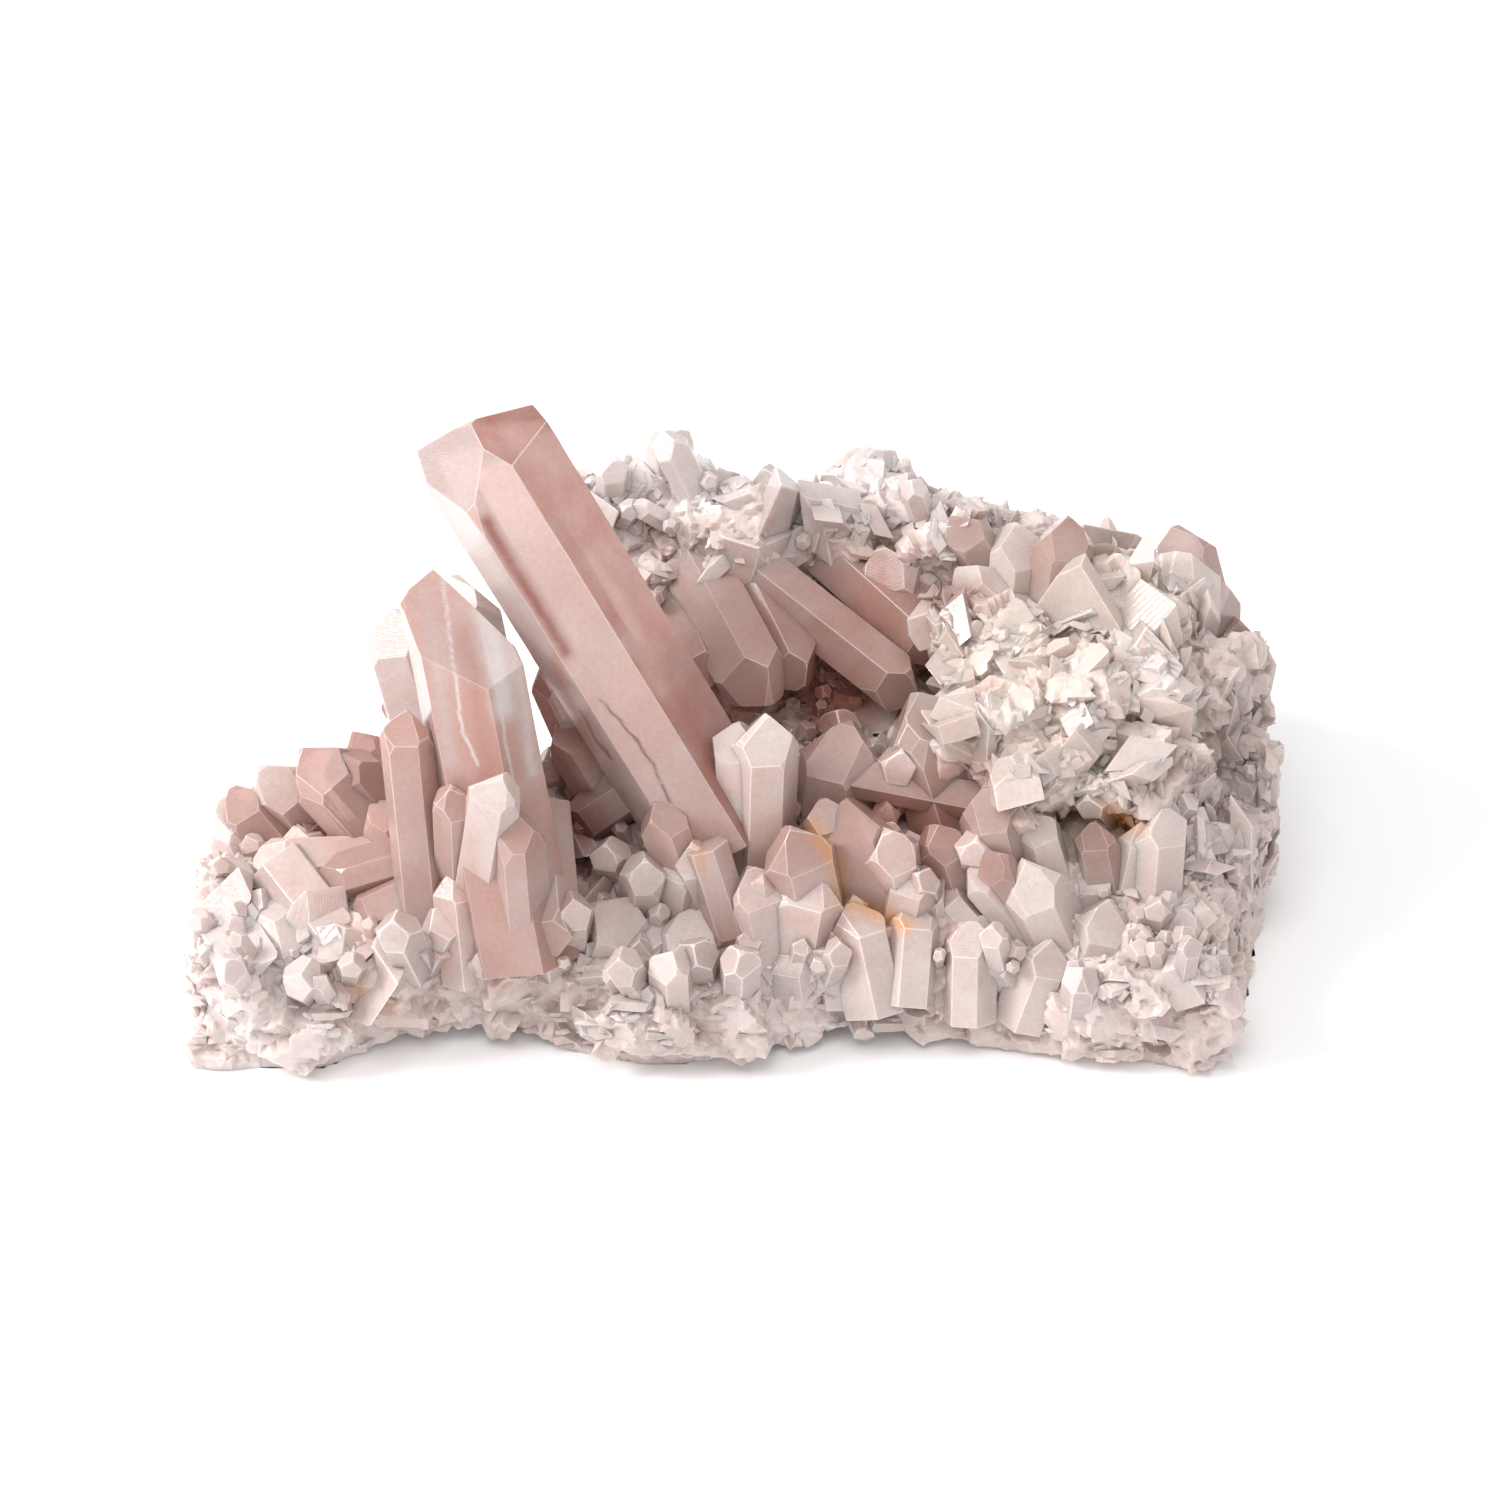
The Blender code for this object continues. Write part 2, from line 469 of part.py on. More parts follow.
def main():
    for old in list(bpy.data.objects):
        bpy.data.objects.remove(old)
    scene = bpy.context.scene.collection
    cluster = bpy.data.collections.new("lithium_quartz_cluster")
    growth = bpy.data.collections.new("growth")
    scene.children.link(cluster)
    scene.children.link(growth)

    finishes = (
        material("milky_quartz", (0.86, 0.80, 0.77), 0.35),
        material("pink_quartz", (0.80, 0.58, 0.53), 0.2),
        material("rose_quartz", (0.62, 0.36, 0.30), 0.2),
    )
    chance = random.Random(FILL_SEED)
    forms = [(name, large_point(spec), PINK) for name, spec in POINTS.items()]
    forms += [(name, crystal(spec, chance), spec.kind) for name, spec in CRYSTALS.items()]
    forms += [(name, block(spec, chance), spec.kind) for name, spec in BLOCKS.items()]
    forms += [(f"fill_{k}", form, MILKY) for k, form in enumerate(fill_crystals(chance))]
    matrix = slab()
    centred([matrix] + [form for _, form, _ in forms])
    for name, form, kind in forms:
        grown = new_object(name, form, growth, finishes, kind)
        grown.hide_render = True
        grown.display_type = "WIRE"

    body = new_object("quartz_cluster", matrix, cluster, finishes, MILKY)
    union = body.modifiers.new("grown_together", "BOOLEAN")
    union.operation = "UNION"
    union.operand_type = "COLLECTION"
    union.collection = growth
    union.solver = "EXACT"

    grown = bmesh.new()
    grown.from_object(body, bpy.context.evaluated_depsgraph_get())
    fill_cavities(grown)
    body.modifiers.remove(union)
    grown.to_mesh(body.data)
    grown.free()


main()
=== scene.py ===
import math
import random
from collections import namedtuple

import bmesh
import bpy
import numpy as np
from mathutils import Matrix, Vector, noise
from mathutils.bvhtree import BVHTree


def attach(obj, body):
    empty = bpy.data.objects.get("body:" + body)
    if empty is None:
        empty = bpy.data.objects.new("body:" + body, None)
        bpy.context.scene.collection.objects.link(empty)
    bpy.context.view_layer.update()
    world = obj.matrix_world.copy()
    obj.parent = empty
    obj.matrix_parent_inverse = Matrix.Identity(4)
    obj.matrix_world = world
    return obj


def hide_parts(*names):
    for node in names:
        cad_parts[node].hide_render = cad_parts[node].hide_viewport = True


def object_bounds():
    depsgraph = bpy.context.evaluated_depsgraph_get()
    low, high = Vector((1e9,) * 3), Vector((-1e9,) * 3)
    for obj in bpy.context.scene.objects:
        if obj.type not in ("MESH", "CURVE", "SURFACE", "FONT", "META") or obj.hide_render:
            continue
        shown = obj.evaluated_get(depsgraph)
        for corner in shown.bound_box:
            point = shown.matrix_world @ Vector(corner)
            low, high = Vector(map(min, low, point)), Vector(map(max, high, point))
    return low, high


# The looks of a lithium quartz cluster: milky quartz with pink points, in the row frame, +Z up.
#
# It is dressed from the inside out. A matrix of slab and rough blocks is made as one chiselled
# skin, a crust of shards and small crystals covers it, and the crystals stand on it. Large forms
# are placed as they are seen in the front view: a point is the spot where the sight line through
# a picture point reaches a height above the table. Sizes are in millimetres.

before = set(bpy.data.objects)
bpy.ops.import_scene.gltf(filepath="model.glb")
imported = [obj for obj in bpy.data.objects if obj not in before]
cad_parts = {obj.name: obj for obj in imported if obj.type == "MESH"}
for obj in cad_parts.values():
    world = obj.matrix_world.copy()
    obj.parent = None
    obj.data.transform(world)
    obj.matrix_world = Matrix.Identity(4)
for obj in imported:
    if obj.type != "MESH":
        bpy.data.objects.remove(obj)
CAD_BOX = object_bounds()
NODE, SLOT, BODY = "quartz_cluster", "quartz", "root"
MM = 0.001

# Front view: a square picture 1500 points wide, taken from above the table
PICTURE_SIDE = 1500
PICTURE_WIDTH_MM = 204.6
VIEW_ELEVATION = math.radians(40)
VIEW_DISTANCE_MM = 568.0
VIEW_TARGET_MM = Vector((1.6, 0.0, 30.0))
TO_VIEWER = Vector((0, -math.cos(VIEW_ELEVATION), math.sin(VIEW_ELEVATION)))
VIEW_UP = Vector((0, math.sin(VIEW_ELEVATION), math.cos(VIEW_ELEVATION)))
VIEW_RIGHT = Vector((1, 0, 0))
LENS_MM, SENSOR_MM = 100.0, 36.0

# Where the row frame's origin lies in the frame that the forms below are drawn in
PLAN_MIDDLE_MM = Vector((0.17, 6.61, 0.0))

# Quartz geometry: a rhombohedral face leans this far from the prism's long axis
FACE_LEAN = math.radians(38.2)
PRISM_SIDES = 6

# Slab of matrix: plan outline and the height of its top, all in mm
FRONT_FLOOR = ((-76, -31), (-58, -32), (-45, -27), (-30, -26.5), (-12, -31), (4, -29), (20, -26), (44, -28.5), (64, -31.5))
FRONT_LEDGE = ((-76, -27), (-56, -28), (-40, -25.5), (-24, -25), (-8, -28), (8, -26), (24, -25), (44, -26), (62, -27))
BACK_LINE = ((-76, -6), (-55, 2), (-32, 6), (-23, 12), (-18, 32), (-6, 40), (14, 41), (36, 41), (55, 37), (72, 29))
LEFT_FLOOR = ((0, -74), (0.4, -74), (1, -70))
LEFT_LEDGE = ((0, -71), (0.5, -71), (1, -66))
RIGHT_FLOOR = ((0, 64.5), (0.2, 70), (0.5, 73.5), (0.8, 75), (1, 69))
RIGHT_LEDGE = ((0, 61), (0.3, 64), (0.6, 66), (1, 64))
TOP_COLUMNS = (-76, -60, -42, -25, -12, 10, 30, 50, 66)
TOP_ROWS = (
    (12, 13, 14, 14, 13, 13, 13, 14, 13),
    (14, 15, 16, 16, 18, 20, 19, 20, 20),
    (15, 17, 18, 17, 24, 24, 24, 27, 26),
    (14, 17, 19, 18, 31, 30, 30, 34, 31),
    (12, 14, 16, 17, 41, 41, 41, 40, 33),
)
ARCHES = ((-37, 15, 3.0), (16, 18, 2.8))
ARCH_DEPTH = 0.30
SLAB_CELLS = 40
SIDE_ROUGHNESS_MM = 1.7
TOP_ROUGHNESS_MM = 1.8
ROUGH_GRAIN_MM = 8.0
ROOT_MM = 5.0
CLEAR_OF_TABLE_MM = 0.7

MILKY, PINK, ROSE = 0, 1, 2
Crystal = namedtuple("Crystal", "tip tip_mm foot foot_mm width_mm kind spin")
Block = namedtuple("Block", "at height_mm size_mm turn kind")
Point = namedtuple("Point", "tip tip_mm foot foot_mm half_mm spin cuts")

CRYSTALS = {
    "down_point": Crystal((556, 957), 17, (545, 840), 26, 6.4, PINK, 10),
    "left_point_mate": Crystal((428, 590), 52, (520, 890), 16, 11.5, MILKY, -25),
    "pale_point": Crystal((392, 610), 46, (440, 770), 22, 9.5, MILKY, -20),
    "pale_low": Crystal((392, 672), 35, (452, 780), 20, 7.5, PINK, 15),
    "small_left_point": Crystal((405, 710), 46, (424, 900), 19, 6.6, PINK, -8),
    "small_left_mate": Crystal((433, 728), 42, (446, 880), 20, 5.6, PINK, 20),
    "small_left_root": Crystal((421, 912), 17, (412, 830), 27, 6.0, ROSE, 20),
    "ember_tip": Crystal((352, 732), 30, (398, 800), 19, 5.5, ROSE, 0),
    "grey_front_a": Crystal((480, 772), 44, (478, 900), 20, 6.6, MILKY, -15),
    "grey_front_b": Crystal((452, 788), 40, (456, 890), 20, 5.4, PINK, 20),
    "grey_front_c": Crystal((514, 812), 38, (524, 930), 18, 7.0, PINK, -5),
    "grey_front_d": Crystal((500, 950), 15, (494, 870), 24, 7.0, MILKY, -10),
    "stub_front_a": Crystal((455, 872), 26, (466, 945), 14, 8.0, MILKY, 25),
    "left_block": Crystal((300, 750), 31, (380, 838), 17, 9.5, PINK, 5),
    "left_block_mate": Crystal((336, 752), 31, (392, 820), 19, 7.0, PINK, -25),
    "left_back_pale": Crystal((262, 768), 25, (304, 822), 14, 8.5, MILKY, 10),
    "left_fin": Crystal((230, 786), 22, (284, 850), 12, 7.5, PINK, -15),
    "left_outer": Crystal((216, 806), 19, (258, 872), 9, 8.5, MILKY, 20),
    "left_outer_low": Crystal((240, 862), 14, (290, 905), 7, 8.0, MILKY, -10),
    "left_lying": Crystal((248, 862), 18, (350, 862), 17, 7.5, MILKY, 30),
    "left_wedge": Crystal((312, 888), 17, (402, 862), 20, 7.5, PINK, 0),
    "left_slab_a": Crystal((244, 930), 9, (290, 872), 14, 8.0, MILKY, 25),
    "left_slab_b": Crystal((352, 958), 12, (300, 890), 17, 7.5, MILKY, -20),
    "left_slab_c": Crystal((302, 956), 10, (256, 925), 11, 6.5, MILKY, 5),
    "left_shard": Crystal((350, 922), 15, (398, 900), 18, 6.0, ROSE, 10),
    "left_cap": Crystal((372, 800), 25, (398, 850), 18, 6.0, MILKY, 20),
    "gap_prism": Crystal((556, 722), 33, (604, 800), 22, 6.5, PINK, 15),
    "gap_wedge": Crystal((570, 826), 19, (640, 780), 27, 7.0, ROSE, -10),
    "gap_back": Crystal((548, 655), 40, (612, 800), 20, 8.0, ROSE, 0),
    "pit_white": Crystal((640, 850), 26, (642, 905), 15, 6.0, MILKY, 12),
    "pit_grey": Crystal((682, 850), 26, (678, 905), 16, 6.0, MILKY, -20),
    "front_plate": Crystal((604, 896), 20, (628, 950), 11, 9.5, MILKY, 28),
    "front_white": Crystal((684, 922), 18, (690, 970), 10, 9.0, MILKY, -5),
    "front_white_mate": Crystal((652, 930), 17, (668, 972), 9, 7.0, MILKY, 15),
    "front_pink": Crystal((738, 955), 13, (714, 880), 23, 6.0, ROSE, 10),
    "main_foot_a": Crystal((655, 800), 32, (690, 900), 17, 6.5, PINK, 25),
    "main_foot_b": Crystal((712, 836), 28, (716, 900), 17, 7.0, MILKY, -15),
    "milky_pillar": Crystal((768, 716), 42, (764, 850), 21, 8.5, MILKY, 8),
    "milky_pillar_mate": Crystal((738, 724), 40, (742, 850), 21, 7.5, MILKY, -22),
    "front_knob": Crystal((800, 862), 25, (796, 960), 11, 9.5, MILKY, -12),
    "front_knob_left": Crystal((762, 870), 25, (770, 955), 12, 8.0, MILKY, 18),
    "front_knob_back": Crystal((792, 826), 31, (806, 890), 20, 9.0, PINK, 18),
    "slope_pink_a": Crystal((848, 800), 31, (872, 895), 17, 9.0, PINK, -22),
    "slope_pink_b": Crystal((884, 820), 29, (900, 890), 18, 8.0, MILKY, 14),
    "slope_pink_c": Crystal((822, 796), 31, (836, 860), 21, 6.5, PINK, 2),
    "slope_pink_d": Crystal((908, 852), 25, (900, 920), 15, 7.0, MILKY, -12),
    "slope_white_a": Crystal((868, 915), 20, (868, 978), 11, 7.5, MILKY, 20),
    "slope_white_b": Crystal((832, 912), 18, (838, 968), 11, 6.0, MILKY, -8),
    "slope_white_c": Crystal((916, 910), 19, (912, 970), 12, 7.0, MILKY, 10),
    "striated_prism": Crystal((768, 704), 34, (692, 562), 40, 9.6, PINK, 34),
    "striated_mate": Crystal((802, 688), 33, (745, 572), 40, 8.0, ROSE, 24),
    "striated_stub": Crystal((712, 688), 33, (672, 600), 36, 7.0, ROSE, 5),
    "diagonal_low": Crystal((918, 700), 31, (768, 582), 40, 9.2, ROSE, 30),
    "diagonal_high": Crystal((952, 662), 33, (806, 530), 42, 9.4, ROSE, 25),
    "diagonal_edge": Crystal((868, 566), 41, (786, 500), 45, 5.0, PINK, 10),
    "pit_wedge": Crystal((848, 724), 34, (838, 812), 21, 10.5, PINK, -18),
    "pit_right": Crystal((914, 694), 37, (944, 790), 24, 11.0, PINK, 22),
    "lying_pink": Crystal((824, 768), 29, (968, 796), 25, 6.0, PINK, 15),
    "cave_rose": Crystal((984, 788), 32, (1002, 872), 19, 8.0, ROSE, -12),
    "cave_rose_mate": Crystal((932, 824), 27, (950, 880), 18, 7.0, ROSE, 20),
    "back_pillar": Crystal((772, 512), 47, (776, 612), 32, 9.0, MILKY, 16),
    "back_grey": Crystal((880, 548), 45, (900, 612), 34, 9.0, MILKY, -10),
    "back_grey_mate": Crystal((914, 566), 42, (926, 625), 33, 7.0, PINK, 12),
    "crest_pink": Crystal((950, 516), 50, (990, 575), 40, 6.5, ROSE, -5),
    "crest_white": Crystal((1018, 524), 50, (1014, 600), 38, 8.4, MILKY, 22),
    "crest_long": Crystal((956, 568), 44, (1036, 640), 36, 7.0, MILKY, -20),
    "top_rose_left": Crystal((1070, 518), 53, (1056, 625), 36, 8.0, ROSE, 8),
    "top_rose_right": Crystal((1174, 526), 48, (1196, 610), 35, 8.4, ROSE, -14),
    "top_mauve": Crystal((1130, 552), 46, (1138, 600), 38, 7.0, ROSE, 15),
    "top_corner": Crystal((1208, 572), 43, (1206, 660), 30, 8.5, PINK, -6),
    "corner_rose": Crystal((1240, 622), 38, (1224, 668), 29, 5.6, ROSE, 18),
    "corner_low": Crystal((1250, 672), 31, (1226, 730), 23, 6.5, MILKY, 0),
    "slope_right_a": Crystal((1036, 814), 28, (1052, 885), 17, 7.0, MILKY, 14),
    "slope_right_b": Crystal((1092, 822), 27, (1104, 885), 17, 6.0, ROSE, -18),
    "slope_right_c": Crystal((1128, 836), 26, (1130, 895), 16, 6.4, MILKY, 6),
    "slope_right_d": Crystal((1164, 818), 28, (1156, 895), 16, 8.0, MILKY, 24),
    "bar_long": Crystal((955, 860), 23, (1040, 950), 11, 6.0, MILKY, 18),
    "bar_short": Crystal((984, 850), 26, (1034, 915), 16, 5.4, ROSE, -15),
    "bar_low": Crystal((950, 900), 19, (1000, 960), 11, 5.6, MILKY, 5),
    "slope_grey": Crystal((1042, 856), 25, (1050, 930), 14, 9.0, MILKY, -8),
    "slope_bright": Crystal((1032, 940), 17, (1032, 990), 9, 8.0, MILKY, 20),
    "slope_bright_b": Crystal((968, 934), 18, (972, 985), 10, 7.0, MILKY, -14),
    "slope_grey_b": Crystal((1094, 886), 20, (1090, 955), 11, 8.0, MILKY, 12),
    "corner_white": Crystal((1182, 908), 18, (1178, 958), 11, 6.5, MILKY, -10),
}

BLOCKS = {
    "back_left": Block((606, 536), 41, (8, 7, 9), 10, MILKY),
    "back_left_top": Block((650, 510), 44, (10, 6, 7), 35, MILKY),
    "back_left_mid": Block((702, 526), 43, (10, 7, 8), -20, MILKY),
    "back_left_low": Block((660, 575), 36, (9, 7, 8), 15, MILKY),
    "back_left_end": Block((736, 548), 42, (7, 6, 8), 50, MILKY),
    "back_right": Block((834, 530), 43, (8, 6, 7), 5, MILKY),
    "back_right_top": Block((888, 524), 43, (10, 6, 6), -15, MILKY),
    "back_right_end": Block((940, 545), 42, (8, 7, 7), 30, MILKY),
    "back_wall_left": Block((650, 640), 18, (8, 6, 10), 20, MILKY),
    "back_wall_mid": Block((790, 632), 17, (12, 5, 9), -12, MILKY),
    "back_wall_right": Block((960, 636), 20, (11, 5, 11), 15, MILKY),
    "back_wall_end": Block((1110, 664), 15, (10, 6, 10), -28, MILKY),
    "right_ridge": Block((1108, 640), 36, (9, 8, 9), 20, MILKY),
    "right_ridge_top": Block((1110, 600), 40, (8, 6, 6), -10, MILKY),
    "right_ridge_side": Block((1160, 640), 36, (7, 8, 9), 40, MILKY),
    "right_ridge_low": Block((1132, 690), 33, (8, 7, 9), -25, MILKY),
    "right_lump": Block((1000, 648), 37, (9, 7, 6), 12, MILKY),
    "right_face": Block((1002, 730), 32, (8, 7, 7), -8, MILKY),
    "right_face_low": Block((1036, 768), 29, (8, 6, 6), 30, MILKY),
    "right_face_side": Block((1078, 722), 33, (7, 7, 8), 25, MILKY),
    "right_cream": Block((1140, 778), 27, (9, 7, 7), 5, MILKY),
    "right_shoulder": Block((1186, 700), 30, (6, 8, 9), -30, MILKY),
    "flank_top": Block((1222, 690), 27, (5, 7, 8), 10, MILKY),
    "flank_mid": Block((1234, 776), 19, (5, 7, 8), 40, MILKY),
    "flank_low": Block((1236, 850), 12, (5, 8, 8), -5, MILKY),
    "left_heel": Block((246, 985), 9, (7, 7, 7), 15, MILKY),
    "left_toe": Block((296, 1012), 7, (8, 6, 5.5), -10, MILKY),
    "left_side": Block((236, 906), 11, (4, 6, 6), 20, MILKY),
    "front_belly": Block((668, 1014), 7, (12, 6, 6), 8, MILKY),
    "front_right": Block((1130, 994), 9, (10, 6, 7), -12, MILKY),
    "corner_post": Block((1190, 1000), 9, (5, 6, 8), 30, MILKY),
}

POINTS = {
    "main_point": Point(
        (463, 416), 77, (704, 806), 25, (8.9, 7.7, 8.2, 8.9, 7.7, 8.2), -10,
        (
            ((5, 10.4), (4, 4.4), (0, 0.8)),
            ((0, 7.0), (1, 6.2), (5, -8.0)),
            ((2, 9.0), (3, 7.0), (1, 1.0)),
            ((3, 5.0), (4, 0.5), (2, 6.0)),
        ),
    ),
    "left_point": Point(
        (447, 552), 64, (520, 925), 17, (6.6, 6.9, 6.3, 6.2, 7.0, 6.8), -15,
        (
            ((4, 6.4), (5, 3.4), (3, 1.4)),
            ((0, 5.8), (1, 14.4), (2, 14.0)),
            ((5, 4.4), (0, 5.6), (1, -2.7)),
            ((3, 3.5), (2, 9.0), (4, 5.0)),
        ),
    ),
}

# Linear colours of the quartz and its stains, and the white of its painted highlights
MILK = (0.68, 0.555, 0.52)
CREAM = (0.73, 0.605, 0.535)
WHITE = (0.77, 0.70, 0.68)
GREY = (0.52, 0.43, 0.405)
BLUSH = (0.62, 0.355, 0.30)
DUSTY = (0.51, 0.25, 0.205)
SALMON = (0.52, 0.21, 0.15)
LIVER = (0.20, 0.055, 0.035)
RUST = (0.80, 0.38, 0.15)
OCHRE = (0.36, 0.20, 0.08)
# White of the painted highlights on bevelled edges and of the pale lines along edges; also the white of the cloudy
# veils inside the quartz
HIGHLIGHT_AND_VEIL_WHITE = (0.93, 0.88, 0.86)

# Where the quartz is stained: picture point, height, radius in mm, colour and strength
Stain = namedtuple("Stain", "at height_mm radius_mm colour strength")
STAINS = (
    Stain((620, 500), 44, 20, WHITE, 0.9),
    Stain((700, 500), 44, 14, WHITE, 0.9),
    Stain((870, 505), 44, 15, WHITE, 0.9),
    Stain((960, 700), 34, 18, CREAM, 0.8),
    Stain((1060, 700), 33, 18, CREAM, 0.8),
    Stain((1120, 620), 38, 14, CREAM, 0.6),
    Stain((280, 1000), 8, 16, WHITE, 0.5),
    Stain((660, 590), 35, 12, SALMON, 0.35),
    Stain((1240, 780), 18, 17, GREY, 0.9),
    Stain((1220, 680), 28, 9, GREY, 0.6),
    Stain((480, 990), 7, 14, GREY, 0.7),
    Stain((660, 1020), 5, 16, GREY, 0.6),
    Stain((860, 1005), 6, 20, GREY, 0.5),
    Stain((330, 830), 18, 12, BLUSH, 0.7),
    Stain((430, 850), 20, 14, BLUSH, 0.9),
    Stain((510, 870), 20, 12, BLUSH, 0.9),
    Stain((760, 860), 22, 12, BLUSH, 0.5),
    Stain((880, 840), 24, 14, BLUSH, 0.8),
    Stain((590, 760), 24, 9, SALMON, 0.9),
    Stain((555, 830), 20, 5, SALMON, 0.9),
    Stain((600, 840), 18, 7, LIVER, 0.95),
    Stain((825, 700), 27, 9, LIVER, 0.95),
    Stain((870, 660), 30, 12, SALMON, 0.7),
    Stain((760, 630), 34, 12, SALMON, 0.6),
    Stain((880, 610), 36, 11, SALMON, 0.6),
    Stain((700, 650), 32, 9, SALMON, 0.6),
    Stain((905, 820), 24, 7, SALMON, 0.8),
    Stain((955, 810), 24, 5, SALMON, 0.8),
    Stain((952, 605), 40, 5, LIVER, 0.85),
    Stain((1080, 810), 24, 5, OCHRE, 0.7),
    Stain((1125, 815), 24, 3.2, RUST, 0.9),
    Stain((1184, 716), 29, 3.4, OCHRE, 0.9),
    Stain((366, 978), 11, 3.4, RUST, 0.75),
    Stain((1222, 1018), 6, 1.6, RUST, 0.8),
    Stain((1237, 920), 12, 1.4, RUST, 0.7),
)

# Lines and patches seen on the front: picture points, half-width in picture points, colour, strength
Stroke = namedtuple("Stroke", "line width colour strength")
CRUST_STROKES = (
    Stroke(((812, 825), (838, 870), (840, 900), (872, 908), (905, 925)), 7, RUST, 0.85),
    Stroke(((1108, 812), (1130, 824), (1142, 830)), 8, RUST, 0.8),
    Stroke(((690, 822), (700, 850), (704, 872)), 4, RUST, 0.7),
)
# On the large points the pale strokes are painted light: a painted highlight down the middle of a face, paler sides
# where the light falls, and thin painted highlights along the edges. The dark strokes are the quartz's own bands and
# cracks
POINT_STAINS_AND_PAINTED_LIGHT = {
    "main_point": (
        Stroke(((486, 522), (512, 566), (536, 604), (566, 652)), 7, (0.33, 0.10, 0.07), 0.9),
        Stroke(((492, 478), (508, 500)), 14, (0.80, 0.50, 0.44), 0.5),
        Stroke(((590, 560), (618, 596), (640, 650), (662, 690)), 9, (0.74, 0.48, 0.42), 0.65),
        Stroke(((600, 700), (628, 730), (652, 762), (672, 806)), 1.3, (0.16, 0.07, 0.06), 0.9),
        Stroke(((578, 706), (596, 738), (612, 760)), 1.2, (0.25, 0.12, 0.10), 0.8),
        Stroke(((556, 660), (574, 712), (590, 752)), 7, (0.62, 0.28, 0.20), 0.6),
    ),
    "left_point": (
        Stroke(((484, 612), (494, 640), (500, 672), (504, 708)), 13, (0.93, 0.88, 0.86), 0.95),
        Stroke(((512, 640), (524, 700), (532, 770)), 7, (0.86, 0.74, 0.71), 0.8),
        Stroke(((548, 700), (560, 790), (572, 880)), 9, (0.55, 0.24, 0.17), 0.8),
        Stroke(((464, 640), (478, 700), (490, 780)), 13, (0.52, 0.24, 0.185), 0.55),
        Stroke(((428, 620), (440, 690), (450, 760)), 9, (0.70, 0.57, 0.55), 0.7),
        Stroke(((441, 566), (447, 610), (463, 733), (478, 765)), 1.5, HIGHLIGHT_AND_VEIL_WHITE, 0.8),
        Stroke(((480, 618), (498, 700), (515, 790)), 1.4, HIGHLIGHT_AND_VEIL_WHITE, 0.7),
    ),
}

# Colours of the large points' faces from tip to foot: prism faces 1 to 6, then the end faces. Besides the quartz's
# pink they hold painted light and shade: faces that the light falls on are paler, faces turned from it darker
FACE_COLOURS_AND_SHADE = {
    "main_point": {
        1: ((0.76, 0.56, 0.52), (0.70, 0.46, 0.41)),
        2: ((0.61, 0.30, 0.245), (0.50, 0.21, 0.165)),
        3: ((0.66, 0.40, 0.34), (0.60, 0.33, 0.28)),
        4: ((0.74, 0.52, 0.47), (0.66, 0.42, 0.37)),
        5: ((0.78, 0.60, 0.56), (0.70, 0.48, 0.43)),
        6: ((0.74, 0.67, 0.66), (0.70, 0.54, 0.50)),
        7: ((0.62, 0.46, 0.43), (0.62, 0.46, 0.43)),
        8: ((0.52, 0.22, 0.165), (0.52, 0.22, 0.165)),
        9: ((0.76, 0.56, 0.52), (0.76, 0.56, 0.52)),
        10: ((0.70, 0.46, 0.41), (0.70, 0.46, 0.41)),
    },
    "left_point": {
        1: ((0.70, 0.42, 0.36), (0.62, 0.34, 0.28)),
        2: ((0.74, 0.50, 0.45), (0.56, 0.27, 0.21)),
        3: ((0.70, 0.44, 0.38), (0.56, 0.28, 0.22)),
        4: ((0.76, 0.56, 0.52), (0.66, 0.42, 0.37)),
        5: ((0.80, 0.62, 0.58), (0.70, 0.48, 0.43)),
        6: ((0.68, 0.55, 0.53), (0.60, 0.41, 0.37)),
        7: ((0.62, 0.48, 0.45), (0.62, 0.48, 0.45)),
        8: ((0.68, 0.39, 0.33), (0.68, 0.39, 0.33)),
        9: ((0.70, 0.44, 0.38), (0.70, 0.44, 0.38)),
        10: ((0.74, 0.50, 0.45), (0.74, 0.50, 0.45)),
    },
}

# Matrix skin: voxel size, and the size, tilt and step in mm of the flat chips it is broken into
SKIN_VOXEL_MM = 0.8
CHIPS = ((6.0, 0.42, 0.9), (2.6, 0.36, 0.35))

# Crust: layers of shards and small crystals, from coarse to fine
# and how much of the massive parts each of them covers
Layer = namedtuple("Layer", "name spacing_mm size_mm sunk grown cover seed")
LAYERS = (
    Layer("coarse_crust", 4.6, (2.4, 4.4), 0.32, 0.45, 0.35, 7),
    Layer("middle_crust", 3.0, (1.1, 2.3), 0.25, 0.45, 0.55, 8),
    Layer("fine_crust", 2.0, (0.5, 1.0), 0.20, 0.0, 0.9, 9),
)
SHARD_KINDS, GROWN_KINDS = 30, 24
SHARD_BREAKS = 3
GROWN_WIDTH = 1.35
LOWEST_CRUST_MM = 1.2
LOWEST_POINT_MM = 0.15

# How a triangle is split whose first 1, 2 or 3 edges are: corners are 0 to 2 and edge middles 3 to 5
SPLITS = {
    1: ([0, 3, 2], [3, 1, 2]),
    2: ([3, 1, 4], [0, 3, 4], [0, 4, 2]),
    3: ([0, 3, 5], [3, 1, 4], [5, 4, 2], [3, 4, 5]),
}

# Longest triangle edge of the large points and of the other named crystals
LARGE_CELL_MM, SMALL_CELL_MM = 0.7, 2.4

# Small milky crystals whose foot is below this picture line lean to all sides by up to this much
SLOPE_FROM, SLOPE_LEAN_MM = 850, 3.2

# Marks that tell a crystal's faces apart: its sides are 1 to 6
END_MARK, EDGE_MARK = 7, 99
FACE_TONE = 0.055
# How far the narrow bevel faces are paled towards white: a painted highlight along the edges
EDGE_HIGHLIGHT = 0.5


